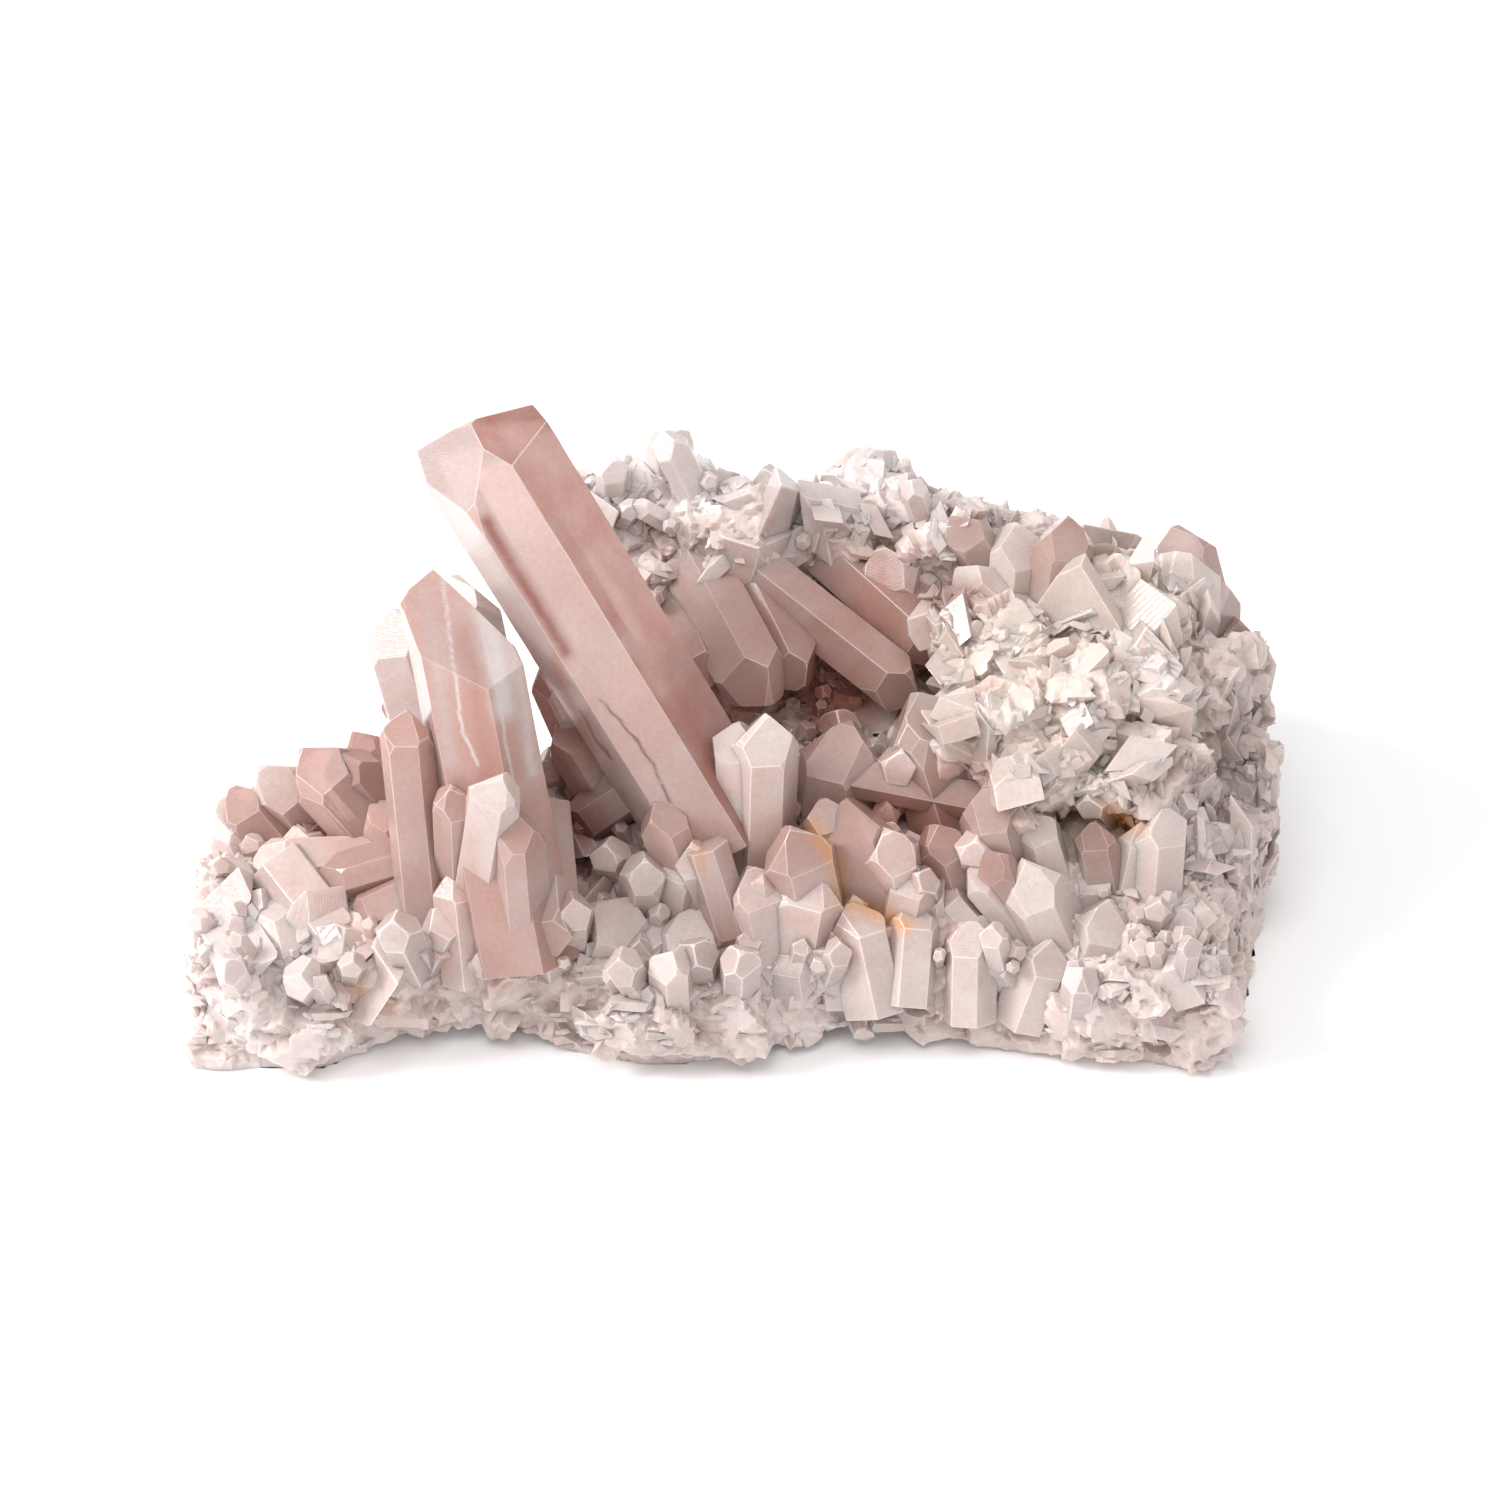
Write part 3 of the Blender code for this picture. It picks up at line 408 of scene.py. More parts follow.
def seen(point, height_mm):
    """The spot at this height on the sight line through a picture point, in mm."""
    share = PICTURE_WIDTH_MM / VIEW_DISTANCE_MM / PICTURE_SIDE
    across = (point[0] - PICTURE_SIDE / 2) * share
    up = (PICTURE_SIDE / 2 - point[1]) * share
    eye = VIEW_TARGET_MM + TO_VIEWER * VIEW_DISTANCE_MM
    line = -TO_VIEWER + VIEW_RIGHT * across + VIEW_UP * up
    return eye + line * ((height_mm - eye.z) / line.z)


def picture_points(points):
    """Where points in mm appear in the front view."""
    share = PICTURE_WIDTH_MM / VIEW_DISTANCE_MM / PICTURE_SIDE
    away = points - np.array(VIEW_TARGET_MM + TO_VIEWER * VIEW_DISTANCE_MM)
    depth = -(away @ np.array(TO_VIEWER))
    across = away @ np.array(VIEW_RIGHT) / depth / share
    up = away @ np.array(VIEW_UP) / depth / share
    return np.stack([PICTURE_SIDE / 2 + across, PICTURE_SIDE / 2 - up], axis=-1)


def between(table, x):
    """A value read from a table of (x, value) pairs, with straight lines between them."""
    if x <= table[0][0]:
        return table[0][1]
    for (x0, y0), (x1, y1) in zip(table, table[1:]):
        if x <= x1:
            return y0 + (y1 - y0) * (x - x0) / (x1 - x0)
    return table[-1][1]


def top_height(x, share):
    """The slab's top at x, where share runs from 0 at the front ledge to 1 at the back."""
    columns = [between(tuple(zip(TOP_COLUMNS, row)), x) for row in TOP_ROWS]
    stations = [k / (len(TOP_ROWS) - 1) for k in range(len(TOP_ROWS))]
    return between(tuple(zip(stations, columns)), share)


def slab_point(across, deep, up):
    """A point of the slab in mm. Each argument runs from 0 to 1: left to right, front to back, bottom to top."""
    left = between(LEFT_FLOOR, deep) * (1 - up) + between(LEFT_LEDGE, deep) * up
    right = between(RIGHT_FLOOR, deep) * (1 - up) + between(RIGHT_LEDGE, deep) * up
    x = left + (right - left) * across
    front = between(FRONT_FLOOR, x) * (1 - up) + between(FRONT_LEDGE, x) * up
    back = between(BACK_LINE, x)
    y = front + (back - front) * deep
    arch = sum(
        lift * max(0.0, 1 - ((x - middle) / half) ** 2) * max(0.0, 1 - deep / ARCH_DEPTH)
        for middle, half, lift in ARCHES
    )
    top = top_height(x, deep)
    return Vector((x, y, arch + (top - arch) * up))


def roughened(point, amount_mm):
    """The point moved by smooth noise."""
    grain = noise.noise_vector(point / ROUGH_GRAIN_MM) + noise.noise_vector(point / ROUGH_GRAIN_MM * 2.7) * 0.45
    return point + grain * amount_mm


def slab():
    """The matrix: a gridded box whose sides follow the outline and whose top follows the relief."""
    form = bmesh.new()
    bmesh.ops.create_cube(form, size=1)
    bmesh.ops.subdivide_edges(form, edges=form.edges[:], cuts=SLAB_CELLS - 1, use_grid_fill=True)
    for vertex in form.verts:
        across, deep, up = (value + 0.5 for value in vertex.co)
        point = slab_point(across, deep, up)
        if up > 0:
            point = roughened(point, TOP_ROUGHNESS_MM if up == 1 else SIDE_ROUGHNESS_MM)
            point.z = max(point.z, CLEAR_OF_TABLE_MM)
        vertex.co = point
    return form


def cut(form, point, normal, mark=0):
    """Cuts a convex form flat, keeps the side behind the plane and marks the new face."""
    parts = form.verts[:] + form.edges[:] + form.faces[:]
    found = bmesh.ops.bisect_plane(form, geom=parts, plane_co=point, plane_no=normal, clear_outer=True)
    rim = [item for item in found["geom_cut"] if isinstance(item, bmesh.types.BMEdge)]
    if len(rim) > 2:
        filled = bmesh.ops.edgeloop_fill(form, edges=rim)
        layer = form.faces.layers.int["mark"]
        for face in filled["faces"]:
            face[layer] = mark


def cube_of(width, depth, bottom, top):
    """A box that a crystal or a block is cut from."""
    form = bmesh.new()
    bmesh.ops.create_cube(form, size=1)
    form.faces.layers.int.new("mark")
    size = Matrix.Diagonal((width, depth, top - bottom, 1))
    bmesh.ops.transform(form, matrix=Matrix.Translation((0, 0, (top + bottom) / 2)) @ size, verts=form.verts)
    return form


def face_normal(spin_degrees, k):
    """The outward normal of prism face k."""
    angle = math.radians(spin_degrees + 360 / PRISM_SIDES * k)
    return Vector((math.cos(angle), math.sin(angle), 0))


def prism(half_widths, length, spin, root=ROOT_MM):
    """A six-sided prism from below its root to above its tip, along +Z, in mm."""
    reach = 4 * max(half_widths)
    form = cube_of(reach, reach, -root, length)
    for k, half in enumerate(half_widths):
        normal = face_normal(spin, k)
        cut(form, normal * half, normal, 1 + k)
    return form


def grown_crystal(width_mm, length, spin, chance, root=ROOT_MM):
    """A crystal along +Z with six unequal sides and a six-faced tip."""
    half_widths = [width_mm / 2 * chance.uniform(0.82, 1.1) for _ in range(PRISM_SIDES)]
    form = prism(half_widths, length, spin, root)
    for k in range(PRISM_SIDES):
        small_face = k % 2
        above = chance.uniform(0.12, 0.3) * width_mm * small_face + chance.uniform(0, 0.1) * width_mm
        side = face_normal(spin, k)
        normal = side * math.cos(FACE_LEAN) + Vector((0, 0, math.sin(FACE_LEAN)))
        cut(form, Vector((0, 0, length + above)), normal, END_MARK + k)
    return form


def prism_edge(spec, k):
    """Where the edge between faces k and k + 1 stands, seen along the point's axis."""
    first, second = face_normal(spec.spin, k), face_normal(spec.spin, k + 1)
    a, b = spec.half_mm[k % PRISM_SIDES], spec.half_mm[(k + 1) % PRISM_SIDES]
    turn = first.x * second.y - first.y * second.x
    return Vector(((a * second.y - b * first.y) / turn, (b * first.x - a * second.x) / turn, 0))


def large_point(spec):
    """A large point along +Z with its own unequal sides, and tip faces that pass three of its edges each."""
    length = (seen(spec.tip, spec.tip_mm) - seen(spec.foot, spec.foot_mm)).length
    form = prism(spec.half_mm, length, spec.spin)
    for number, edges in enumerate(spec.cuts):
        corners = [prism_edge(spec, k) + Vector((0, 0, length - below)) for k, below in edges]
        normal = (corners[1] - corners[0]).cross(corners[2] - corners[0]).normalized()
        cut(form, corners[0], normal if normal.z > 0 else -normal, END_MARK + number)
    return form


def standing(foot, tip):
    """The turn and place that carry +Z from foot to tip and turn +X towards the viewer."""
    along = (tip - foot).normalized()
    facing = (TO_VIEWER - along * TO_VIEWER.dot(along)).normalized()
    side = along.cross(facing)
    return Matrix.Translation(foot) @ Matrix((facing, side, along)).transposed().to_4x4()


def rough_block(spec, chance):
    """A rough block of massive quartz: a box with its corners and edges broken off flat."""
    form = cube_of(2, 2, -1, 1)
    for _ in range(12):
        normal = Vector([chance.gauss(0, 1) for _ in range(3)]).normalized()
        cut(form, normal * chance.uniform(0.78, 1.02), normal)
    size = Matrix.Diagonal((*spec.size_mm, 1))
    turn = Matrix.Rotation(math.radians(spec.turn), 4, "Z")
    middle = Matrix.Translation(seen(spec.at, spec.height_mm))
    bmesh.ops.transform(form, matrix=middle @ turn @ size, verts=form.verts)
    return form


# A mesh as arrays: points in mm, triangles, a colour for each of their corners, and the growth
# coordinates of its points, which run along the crystal that they belong to
Shape = namedtuple("Shape", "points triangles tint growth")


def bevelled(form, width):
    """Bevels a form's edges and marks the narrow new faces, which are given a painted highlight."""
    made = bmesh.ops.bevel(form, geom=form.edges[:], offset=width, segments=1, affect="EDGES", clamp_overlap=True)
    layer = form.faces.layers.int["mark"]
    for face in made["faces"]:
        face[layer] = EDGE_MARK


def arrays_of(form):
    """The points, triangles and face marks of a form, which is freed."""
    bmesh.ops.recalc_face_normals(form, faces=form.faces)
    bmesh.ops.triangulate(form, faces=form.faces)
    form.verts.index_update()
    layer = form.faces.layers.int["mark"]
    points = np.array([vertex.co[:] for vertex in form.verts])
    triangles = np.array([[vertex.index for vertex in face.verts] for face in form.faces])
    marks = np.array([face[layer] for face in form.faces])
    form.free()
    return points, triangles, marks


def rolled(table, shift):
    """The rows of a three-column table, each rolled to the left by its own shift."""
    return np.take_along_axis(table, (np.arange(3) + shift[:, None]) % 3, axis=1)


def refined(points, triangles, marks, reach_mm):
    """The mesh with its triangles split until no edge is longer than the reach."""
    while True:
        pairs = np.sort(triangles[:, [[0, 1], [1, 2], [2, 0]]], axis=2).reshape(-1, 2)
        edges, use = np.unique(pairs, axis=0, return_inverse=True)
        long = np.linalg.norm(points[edges[:, 0]] - points[edges[:, 1]], axis=1) > reach_mm
        if not long.any():
            return points, triangles, marks
        middle = np.full(len(edges), -1)
        middle[long] = len(points) + np.arange(long.sum())
        points = np.concatenate([points, points[edges[long]].mean(axis=1)])
        middle = middle[use.reshape(-1, 3)]
        count = (middle >= 0).sum(axis=1)
        made, kept = [triangles[count == 0]], [marks[count == 0]]
        for splits, patterns in SPLITS.items():
            here = np.flatnonzero(count == splits)
            if splits == 1:
                shift = np.argmax(middle[here] >= 0, axis=1)
            else:
                shift = (np.argmin(middle[here] >= 0, axis=1) + 1) % 3
            six = np.concatenate([rolled(triangles[here], shift), rolled(middle[here], shift)], axis=1)
            for pattern in patterns:
                made.append(six[:, pattern])
                kept.append(marks[here])
        triangles, marks = np.concatenate(made), np.concatenate(kept)


def moved(points, matrix):
    """Points moved by a 4x4 matrix."""
    return points @ np.array(matrix.to_3x3()).T + np.array(matrix.translation)


def joined(shapes):
    """Several shapes as one."""
    starts = np.cumsum([0] + [len(shape.points) for shape in shapes])
    return Shape(
        np.concatenate([shape.points for shape in shapes]),
        np.concatenate([shape.triangles + start for shape, start in zip(shapes, starts)]),
        np.concatenate([shape.tint for shape in shapes]),
        np.concatenate([shape.growth for shape in shapes]),
    )


def inside_frame(points):
    """Points from the drawing's frame in mm in the row frame in metres, kept within the solid's box."""
    low, high = (np.array(corner) for corner in CAD_BOX)
    return np.clip((points - np.array(PLAN_MIDDLE_MM)) * MM, low, high)


def new_piece(name, shape, material, crease_degrees=0):
    """A mesh object of this shape that rides on the root. It is flat-shaded unless it has a crease angle."""
    mesh = bpy.data.meshes.new(name)
    count = len(shape.triangles)
    mesh.vertices.add(len(shape.points))
    mesh.vertices.foreach_set("co", inside_frame(shape.points).astype(np.float32).ravel())
    mesh.loops.add(count * 3)
    mesh.loops.foreach_set("vertex_index", shape.triangles.astype(np.int32).ravel())
    mesh.polygons.add(count)
    mesh.polygons.foreach_set("loop_start", np.arange(0, count * 3, 3, dtype=np.int32))
    mesh.update(calc_edges=True)
    if crease_degrees:
        mesh.shade_smooth()
        mesh.set_sharp_from_angle(angle=math.radians(crease_degrees))
    else:
        mesh.shade_flat()
    tint = mesh.attributes.new("tint", "FLOAT_COLOR", "CORNER")
    colours = np.clip(shape.tint.reshape(-1, 3), 0, 1)
    tint.data.foreach_set("color", np.c_[colours, np.ones(len(colours))].astype(np.float32).ravel())
    growth = mesh.attributes.new("growth", "FLOAT_VECTOR", "POINT")
    growth.data.foreach_set("vector", shape.growth.astype(np.float32).ravel())
    mesh.materials.append(material)
    piece = bpy.data.objects.new(name, mesh)
    bpy.context.scene.collection.objects.link(piece)
    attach(piece, BODY)
    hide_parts(NODE)
    return piece


def hashed(cells, salt):
    """A random number from 0 to 1 for each integer cell, the same every time."""
    mixed = cells[..., 0] * 73856093 ^ cells[..., 1] * 19349663 ^ cells[..., 2] * 83492791 ^ (salt * 2654435761)
    mixed = (mixed ^ (mixed >> 13)) * 1274126177 & 0xFFFFFFFF
    mixed = (mixed ^ (mixed >> 16)) * 2246822519 & 0xFFFFFFFF
    return ((mixed ^ (mixed >> 15)) & 0xFFFFFF) / 0xFFFFFF


def cloud(points, size_mm, salt):
    """Smooth noise from 0 to 1 at each point."""
    cells = np.floor(points / size_mm).astype(np.int64)
    share = points / size_mm - cells
    share = share * share * (3 - 2 * share)
    total = np.zeros(len(points))
    for corner in np.ndindex(2, 2, 2):
        weight = np.prod(np.where(np.array(corner), share, 1 - share), axis=1)
        total += weight * hashed(cells + np.array(corner), salt)
    return total


def stained(points, base=MILK):
    """The quartz's colour at each point: its base, cloudy patches and the stains over it."""
    colour = np.array(np.broadcast_to(np.array(base, dtype=float), points.shape))
    patch = cloud(points, 9.0, 3) * 0.6 + cloud(points, 3.5, 4) * 0.4
    pale = np.clip((patch - 0.5) * 2.2, 0, 1)[:, None] * 0.35
    deep = np.clip((0.48 - patch) * 2.6, 0, 1)[:, None] * 0.30
    colour = colour * (1 - pale) + np.array(WHITE) * pale
    colour = colour * (1 - deep) + colour * np.array((0.90, 0.78, 0.74)) * deep
    wobble = 1 + (cloud(points, 4.0, 6) - 0.5) * 0.7
    for stain in STAINS:
        away = np.linalg.norm(points - np.array(seen(stain.at, stain.height_mm)), axis=1) * wobble
        share = (np.exp(-(away / stain.radius_mm) ** 2 * 1.2) * stain.strength)[:, None]
        colour = colour * (1 - share) + np.array(stain.colour) * share
    return colour


def stroked(colour, points, facing, strokes):
    """The colour with strokes drawn over it, where the surface faces the front view."""
    spots = picture_points(points)
    spots = spots + np.stack([cloud(points, 1.6, 21), cloud(points, 1.6, 22)], axis=-1) * 3 - 1.5
    for stroke in strokes:
        away = np.full(len(points), np.inf)
        for start, end in zip(stroke.line, stroke.line[1:]):
            start, along = np.array(start, dtype=float), np.array(end, dtype=float) - start
            share = np.clip((spots - start) @ along / (along @ along), 0, 1)
            away = np.minimum(away, np.linalg.norm(spots - start - share[:, None] * along, axis=1))
        share = (np.exp(-(away / stroke.width) ** 2) * stroke.strength * facing)[:, None]
        colour = colour * (1 - share) + np.array(stroke.colour) * share
    return colour


def painted(points, triangles, marks, base, strokes=(), tone_and_glint=None):
    """Corner colours: the base, stains, strokes, a tone of its own for each face, and a painted highlight on the
    bevelled edges.
    """
    corners = points[triangles]
    normals = np.cross(corners[:, 1] - corners[:, 0], corners[:, 2] - corners[:, 0])
    facing = np.repeat(normals @ np.array(TO_VIEWER) > 0, 3)
    base = np.array(base, dtype=float)
    if base.ndim == 2:
        base = np.repeat(base, 3, axis=0)
    flat = corners.reshape(-1, 3)
    colour = stroked(stained(flat, base), flat, facing, strokes).reshape(-1, 3, 3)
    tone = 1 + FACE_TONE * np.sin(marks * 2.4)
    # The shard's own brightness, which is partly painted glint
    if tone_and_glint is not None:
        tone = tone * tone_and_glint
    colour = colour * tone[:, None, None]
    # Painted highlight: the narrow bevel faces along the edges are paled towards white as if they caught the light
    edge = (marks == EDGE_MARK)[:, None, None] * EDGE_HIGHLIGHT
    return colour * (1 - edge) + np.array(HIGHLIGHT_AND_VEIL_WHITE) * edge


def chip_height(points, size_mm, tilt, step_mm, salt):
    """How far the surface stands out at each point when it is broken into flat tilted chips."""
    home = np.floor(points / size_mm).astype(np.int64)
    best = np.full(len(points), np.inf)
    height = np.zeros(len(points))
    for shift in np.ndindex(3, 3, 3):
        cell = home + np.array(shift) - 1
        seed = (cell + np.stack([hashed(cell, salt + k) for k in range(3)], axis=-1)) * size_mm
        away = points - seed
        distance = np.einsum("ij,ij->i", away, away)
        lean = np.stack([hashed(cell, salt + 5 + k) for k in range(3)], axis=-1) * 2 - 1
        level = np.einsum("ij,ij->i", away, lean) * tilt + (hashed(cell, salt + 9) - 0.5) * step_mm
        nearer = distance < best
        best[nearer] = distance[nearer]
        height[nearer] = level[nearer]
    return height


def skin(forms):
    """Several closed forms as one even skin of small faces: its points, normals and triangles."""
    together = bmesh.new()
    for form in forms:
        part = bpy.data.meshes.new("part")
        form.to_mesh(part)
        form.free()
        together.from_mesh(part)
        bpy.data.meshes.remove(part)
    mesh = bpy.data.meshes.new("skin")
    together.to_mesh(mesh)
    together.free()
    holder = bpy.data.objects.new("skin", mesh)
    bpy.context.scene.collection.objects.link(holder)
    remesh = holder.modifiers.new("even", "REMESH")
    remesh.mode = "VOXEL"
    remesh.voxel_size = SKIN_VOXEL_MM
    even = bmesh.new()
    even.from_object(holder, bpy.context.evaluated_depsgraph_get())
    bmesh.ops.triangulate(even, faces=even.faces)
    even.normal_update()
    even.verts.index_update()
    points = np.array([vertex.co[:] for vertex in even.verts])
    normals = np.array([vertex.normal[:] for vertex in even.verts])
    triangles = np.array([[vertex.index for vertex in face.verts] for face in even.faces])
    even.free()
    bpy.data.objects.remove(holder)
    return points, normals, triangles


def matrix_skin():
    """The matrix: slab and blocks in one skin that is broken into flat chips, and a tree of it."""
    chance = random.Random(7)
    forms = [slab()] + [rough_block(spec, chance) for spec in BLOCKS.values()]
    even, normals, triangles = skin(forms)
    lift = sum(chip_height(even, size, tilt, step, 11 * k) for k, (size, tilt, step) in enumerate(CHIPS))
    above = np.clip((even[:, 2] - 0.3) / 2, 0, 1)
    points = even + normals * (lift * above)[:, None]
    points[:, 2] = np.where(even[:, 2] < 0.45, 0, np.maximum(points[:, 2], 0))
    tint = painted(points, triangles, np.zeros(len(triangles)), MILK, CRUST_STROKES) * 0.92
    return Shape(points, triangles, tint, points * 0), BVHTree.FromPolygons(even.tolist(), triangles.tolist())


def shard_prototypes(chance, bevel_mm):
    """Broken bits of quartz about one unit in radius."""
    made = []
    for _ in range(SHARD_KINDS):
        form = cube_of(2, 2, -1, 1)
        skew = Matrix([[1 if i == j else chance.uniform(-0.45, 0.45) for j in range(3)] for i in range(3)])
        bmesh.ops.transform(form, matrix=skew.to_4x4(), verts=form.verts)
        for k in range(SHARD_BREAKS):
            normal = Vector([chance.gauss(0, 1) for _ in range(3)]).normalized()
            cut(form, normal * chance.uniform(0.55, 0.95), normal, 1 + k)
        if bevel_mm:
            bevelled(form, bevel_mm)
        made.append(arrays_of(form))
    return made


def grown_prototypes(chance, bevel_mm):
    """Small crystals that stand on the origin."""
    made = []
    for _ in range(GROWN_KINDS):
        length = GROWN_WIDTH * chance.uniform(1.1, 2.3)
        form = grown_crystal(GROWN_WIDTH, length, chance.uniform(0, 60), chance, root=0.8)
        if bevel_mm:
            bevelled(form, bevel_mm)
        made.append(arrays_of(form))
    return made


def surface_spots(tree, spacing, chance):
    """Spots on the skin at an even spacing, seen from outside along each axis, with the outward normals."""
    low, high = (np.array(corner) / MM + np.array(PLAN_MIDDLE_MM) for corner in CAD_BOX)
    spots, normals = [], []
    for axis, sign in ((2, 1), (1, -1), (1, 1), (0, -1), (0, 1)):
        others = [k for k in range(3) if k != axis]
        counts = [int((high[k] - low[k]) / spacing) for k in others]
        for cell in np.ndindex(*counts):
            start = np.zeros(3)
            start[others] = [low[k] + (cell[j] + chance.random()) * spacing for j, k in enumerate(others)]
            start[axis] = (high if sign > 0 else low)[axis] + sign * 5
            direction = np.zeros(3)
            direction[axis] = -sign
            hit, normal, _, _ = tree.ray_cast(Vector(start), Vector(direction))
            if hit is None or hit.z < LOWEST_CRUST_MM or normal[axis] * sign < 0.55:
                continue
            spots.append(hit[:])
            normals.append(normal[:])
    return np.array(spots), np.array(normals)


def turns_to(main, chance):
    """Turns that carry +Z to each main direction, as an array of 3x3 matrices."""
    main = main / np.linalg.norm(main, axis=1)[:, None]
    first = np.cross(main, chance.normal(size=main.shape))
    first /= np.linalg.norm(first, axis=1)[:, None]
    return np.stack([first, np.cross(main, first), main], axis=2)


def scattered(prototypes, spots, turns, sizes, tone_and_glint, chance):
    """Copies of the prototypes at the spots, each turned, sized along its three axes and toned."""
    shapes = []
    low, high = (np.array(corner) / MM + np.array(PLAN_MIDDLE_MM) for corner in CAD_BOX)
    low[2] = LOWEST_POINT_MM
    which = chance.integers(len(prototypes), size=len(spots))
    for kind, (points, triangles, marks) in enumerate(prototypes):
        here = np.flatnonzero(which == kind)
        if not len(here):
            continue
        local = points[None] * sizes[here][:, None, :]
        placed = np.einsum("nij,nkj->nki", turns[here], local) + spots[here][:, None, :]
        fits = ((placed > low) & (placed < high)).all(axis=(1, 2))
        here, local, placed = here[fits], local[fits], placed[fits].reshape(-1, 3)
        offsets = np.arange(len(here))[:, None, None] * len(points)
        faces = (triangles[None] + offsets).reshape(-1, 3)
        tone = np.repeat(tone_and_glint[here], len(triangles))
        tint = painted(placed, faces, np.tile(marks, len(here)), MILK, CRUST_STROKES, tone)
        growth = (local + chance.uniform(0, 50, (len(here), 1, 3))).reshape(-1, 3)
        shapes.append(Shape(placed, faces, tint, growth))
    return joined(shapes)


def crust(layer, tree, hulls):
    """One layer of the crust: shards, and crystals between them that have grown outwards."""
    chance = np.random.default_rng(layer.seed)
    spots, normals = surface_spots(tree, layer.spacing_mm, chance)
    keep = np.ones(len(spots), dtype=bool)
    for planes in hulls:
        keep &= (planes[:, 3] - spots @ planes[:, :3].T).min(axis=1) < 0.6
    ledge = (normals[:, 1] < -0.6) & (spots[:, 2] < 13)
    bare = (spots[:, 0] > 26) | (spots[:, 1] > 8)
    keep &= chance.random(len(spots)) < np.where(ledge, layer.cover * 0.35, np.where(bare, layer.cover, 1))
    spots, normals = spots[keep], normals[keep]
    count = len(spots)
    ledge = (normals[:, 1] < -0.6) & (spots[:, 2] < 13)
    flank = (normals[:, 0] > 0.5) & (spots[:, 0] > 55)
    plain = ledge | flank | (normals[:, 1] > 0.5) | (spots[:, 0] > 26) & (spots[:, 2] > 24)
    grows = (chance.random(count) < layer.grown) & ~plain

    size = chance.uniform(*layer.size_mm, (count, 1))
    sizes = size * chance.uniform(0.5, 1.45, (count, 3)) * (1, 1, 0.5)
    main = normals + chance.normal(0, 0.4, normals.shape)
    main[flank] = (0.1, 0, 1) + chance.normal(0, 0.13, (flank.sum(), 3))
    main[ledge] = (1, 0, 0.05) + chance.normal(0, 0.16, (ledge.sum(), 3))
    sizes[flank] = size[flank] * (0.42, 0.42, 1.5)
    sizes[ledge] = size[ledge] * (0.4, 0.3, 1.2)
    main[grows] = (normals * 0.5 + (-0.12, -0.25, 0.8))[grows] + chance.normal(0, 0.28, (grows.sum(), 3))
    sizes[grows] = size[grows]
    # Each shard's brightness: partly a random tone, and partly painted glints, as the spread is wide so that some
    # shards stand out pale
    tone_and_glint = 1 + chance.normal(0, 0.085, count)
    centres = spots - normals * size * layer.sunk
    turns = turns_to(main, chance)

    maker = random.Random(layer.seed)
    bevel_mm = 0.045 if layer.grown else 0
    shapes = [scattered(shard_prototypes(maker, bevel_mm), centres[~grows], turns[~grows], sizes[~grows], tone_and_glint[~grows], chance)]
    if grows.any():
        grown = grown_prototypes(maker, bevel_mm)
        shapes.append(scattered(grown, centres[grows], turns[grows], sizes[grows], tone_and_glint[grows], chance))
    return joined(shapes)


def hull_planes(form, place):
    """The face planes of a placed convex form, as rows of normal and distance."""
    form.normal_update()
    bmesh.ops.recalc_face_normals(form, faces=form.faces)
    local = np.array([[*face.normal, face.normal.dot(face.verts[0].co)] for face in form.faces])
    normals = local[:, :3] @ np.array(place.to_3x3()).T
    return np.c_[normals, local[:, 3] + normals @ np.array(place.translation)]


def chipped(form, length, chance, depth_mm):
    """Breaks small chips off the tip's corners."""
    bmesh.ops.recalc_face_normals(form, faces=form.faces)
    form.normal_update()
    corners = [(vertex.co.copy(), vertex.normal.copy()) for vertex in form.verts if vertex.co.z > length * 0.6]
    for corner, outward in chance.sample(corners, min(3, len(corners))):
        cut(form, corner - outward * chance.uniform(0.3, 1) * depth_mm, outward)


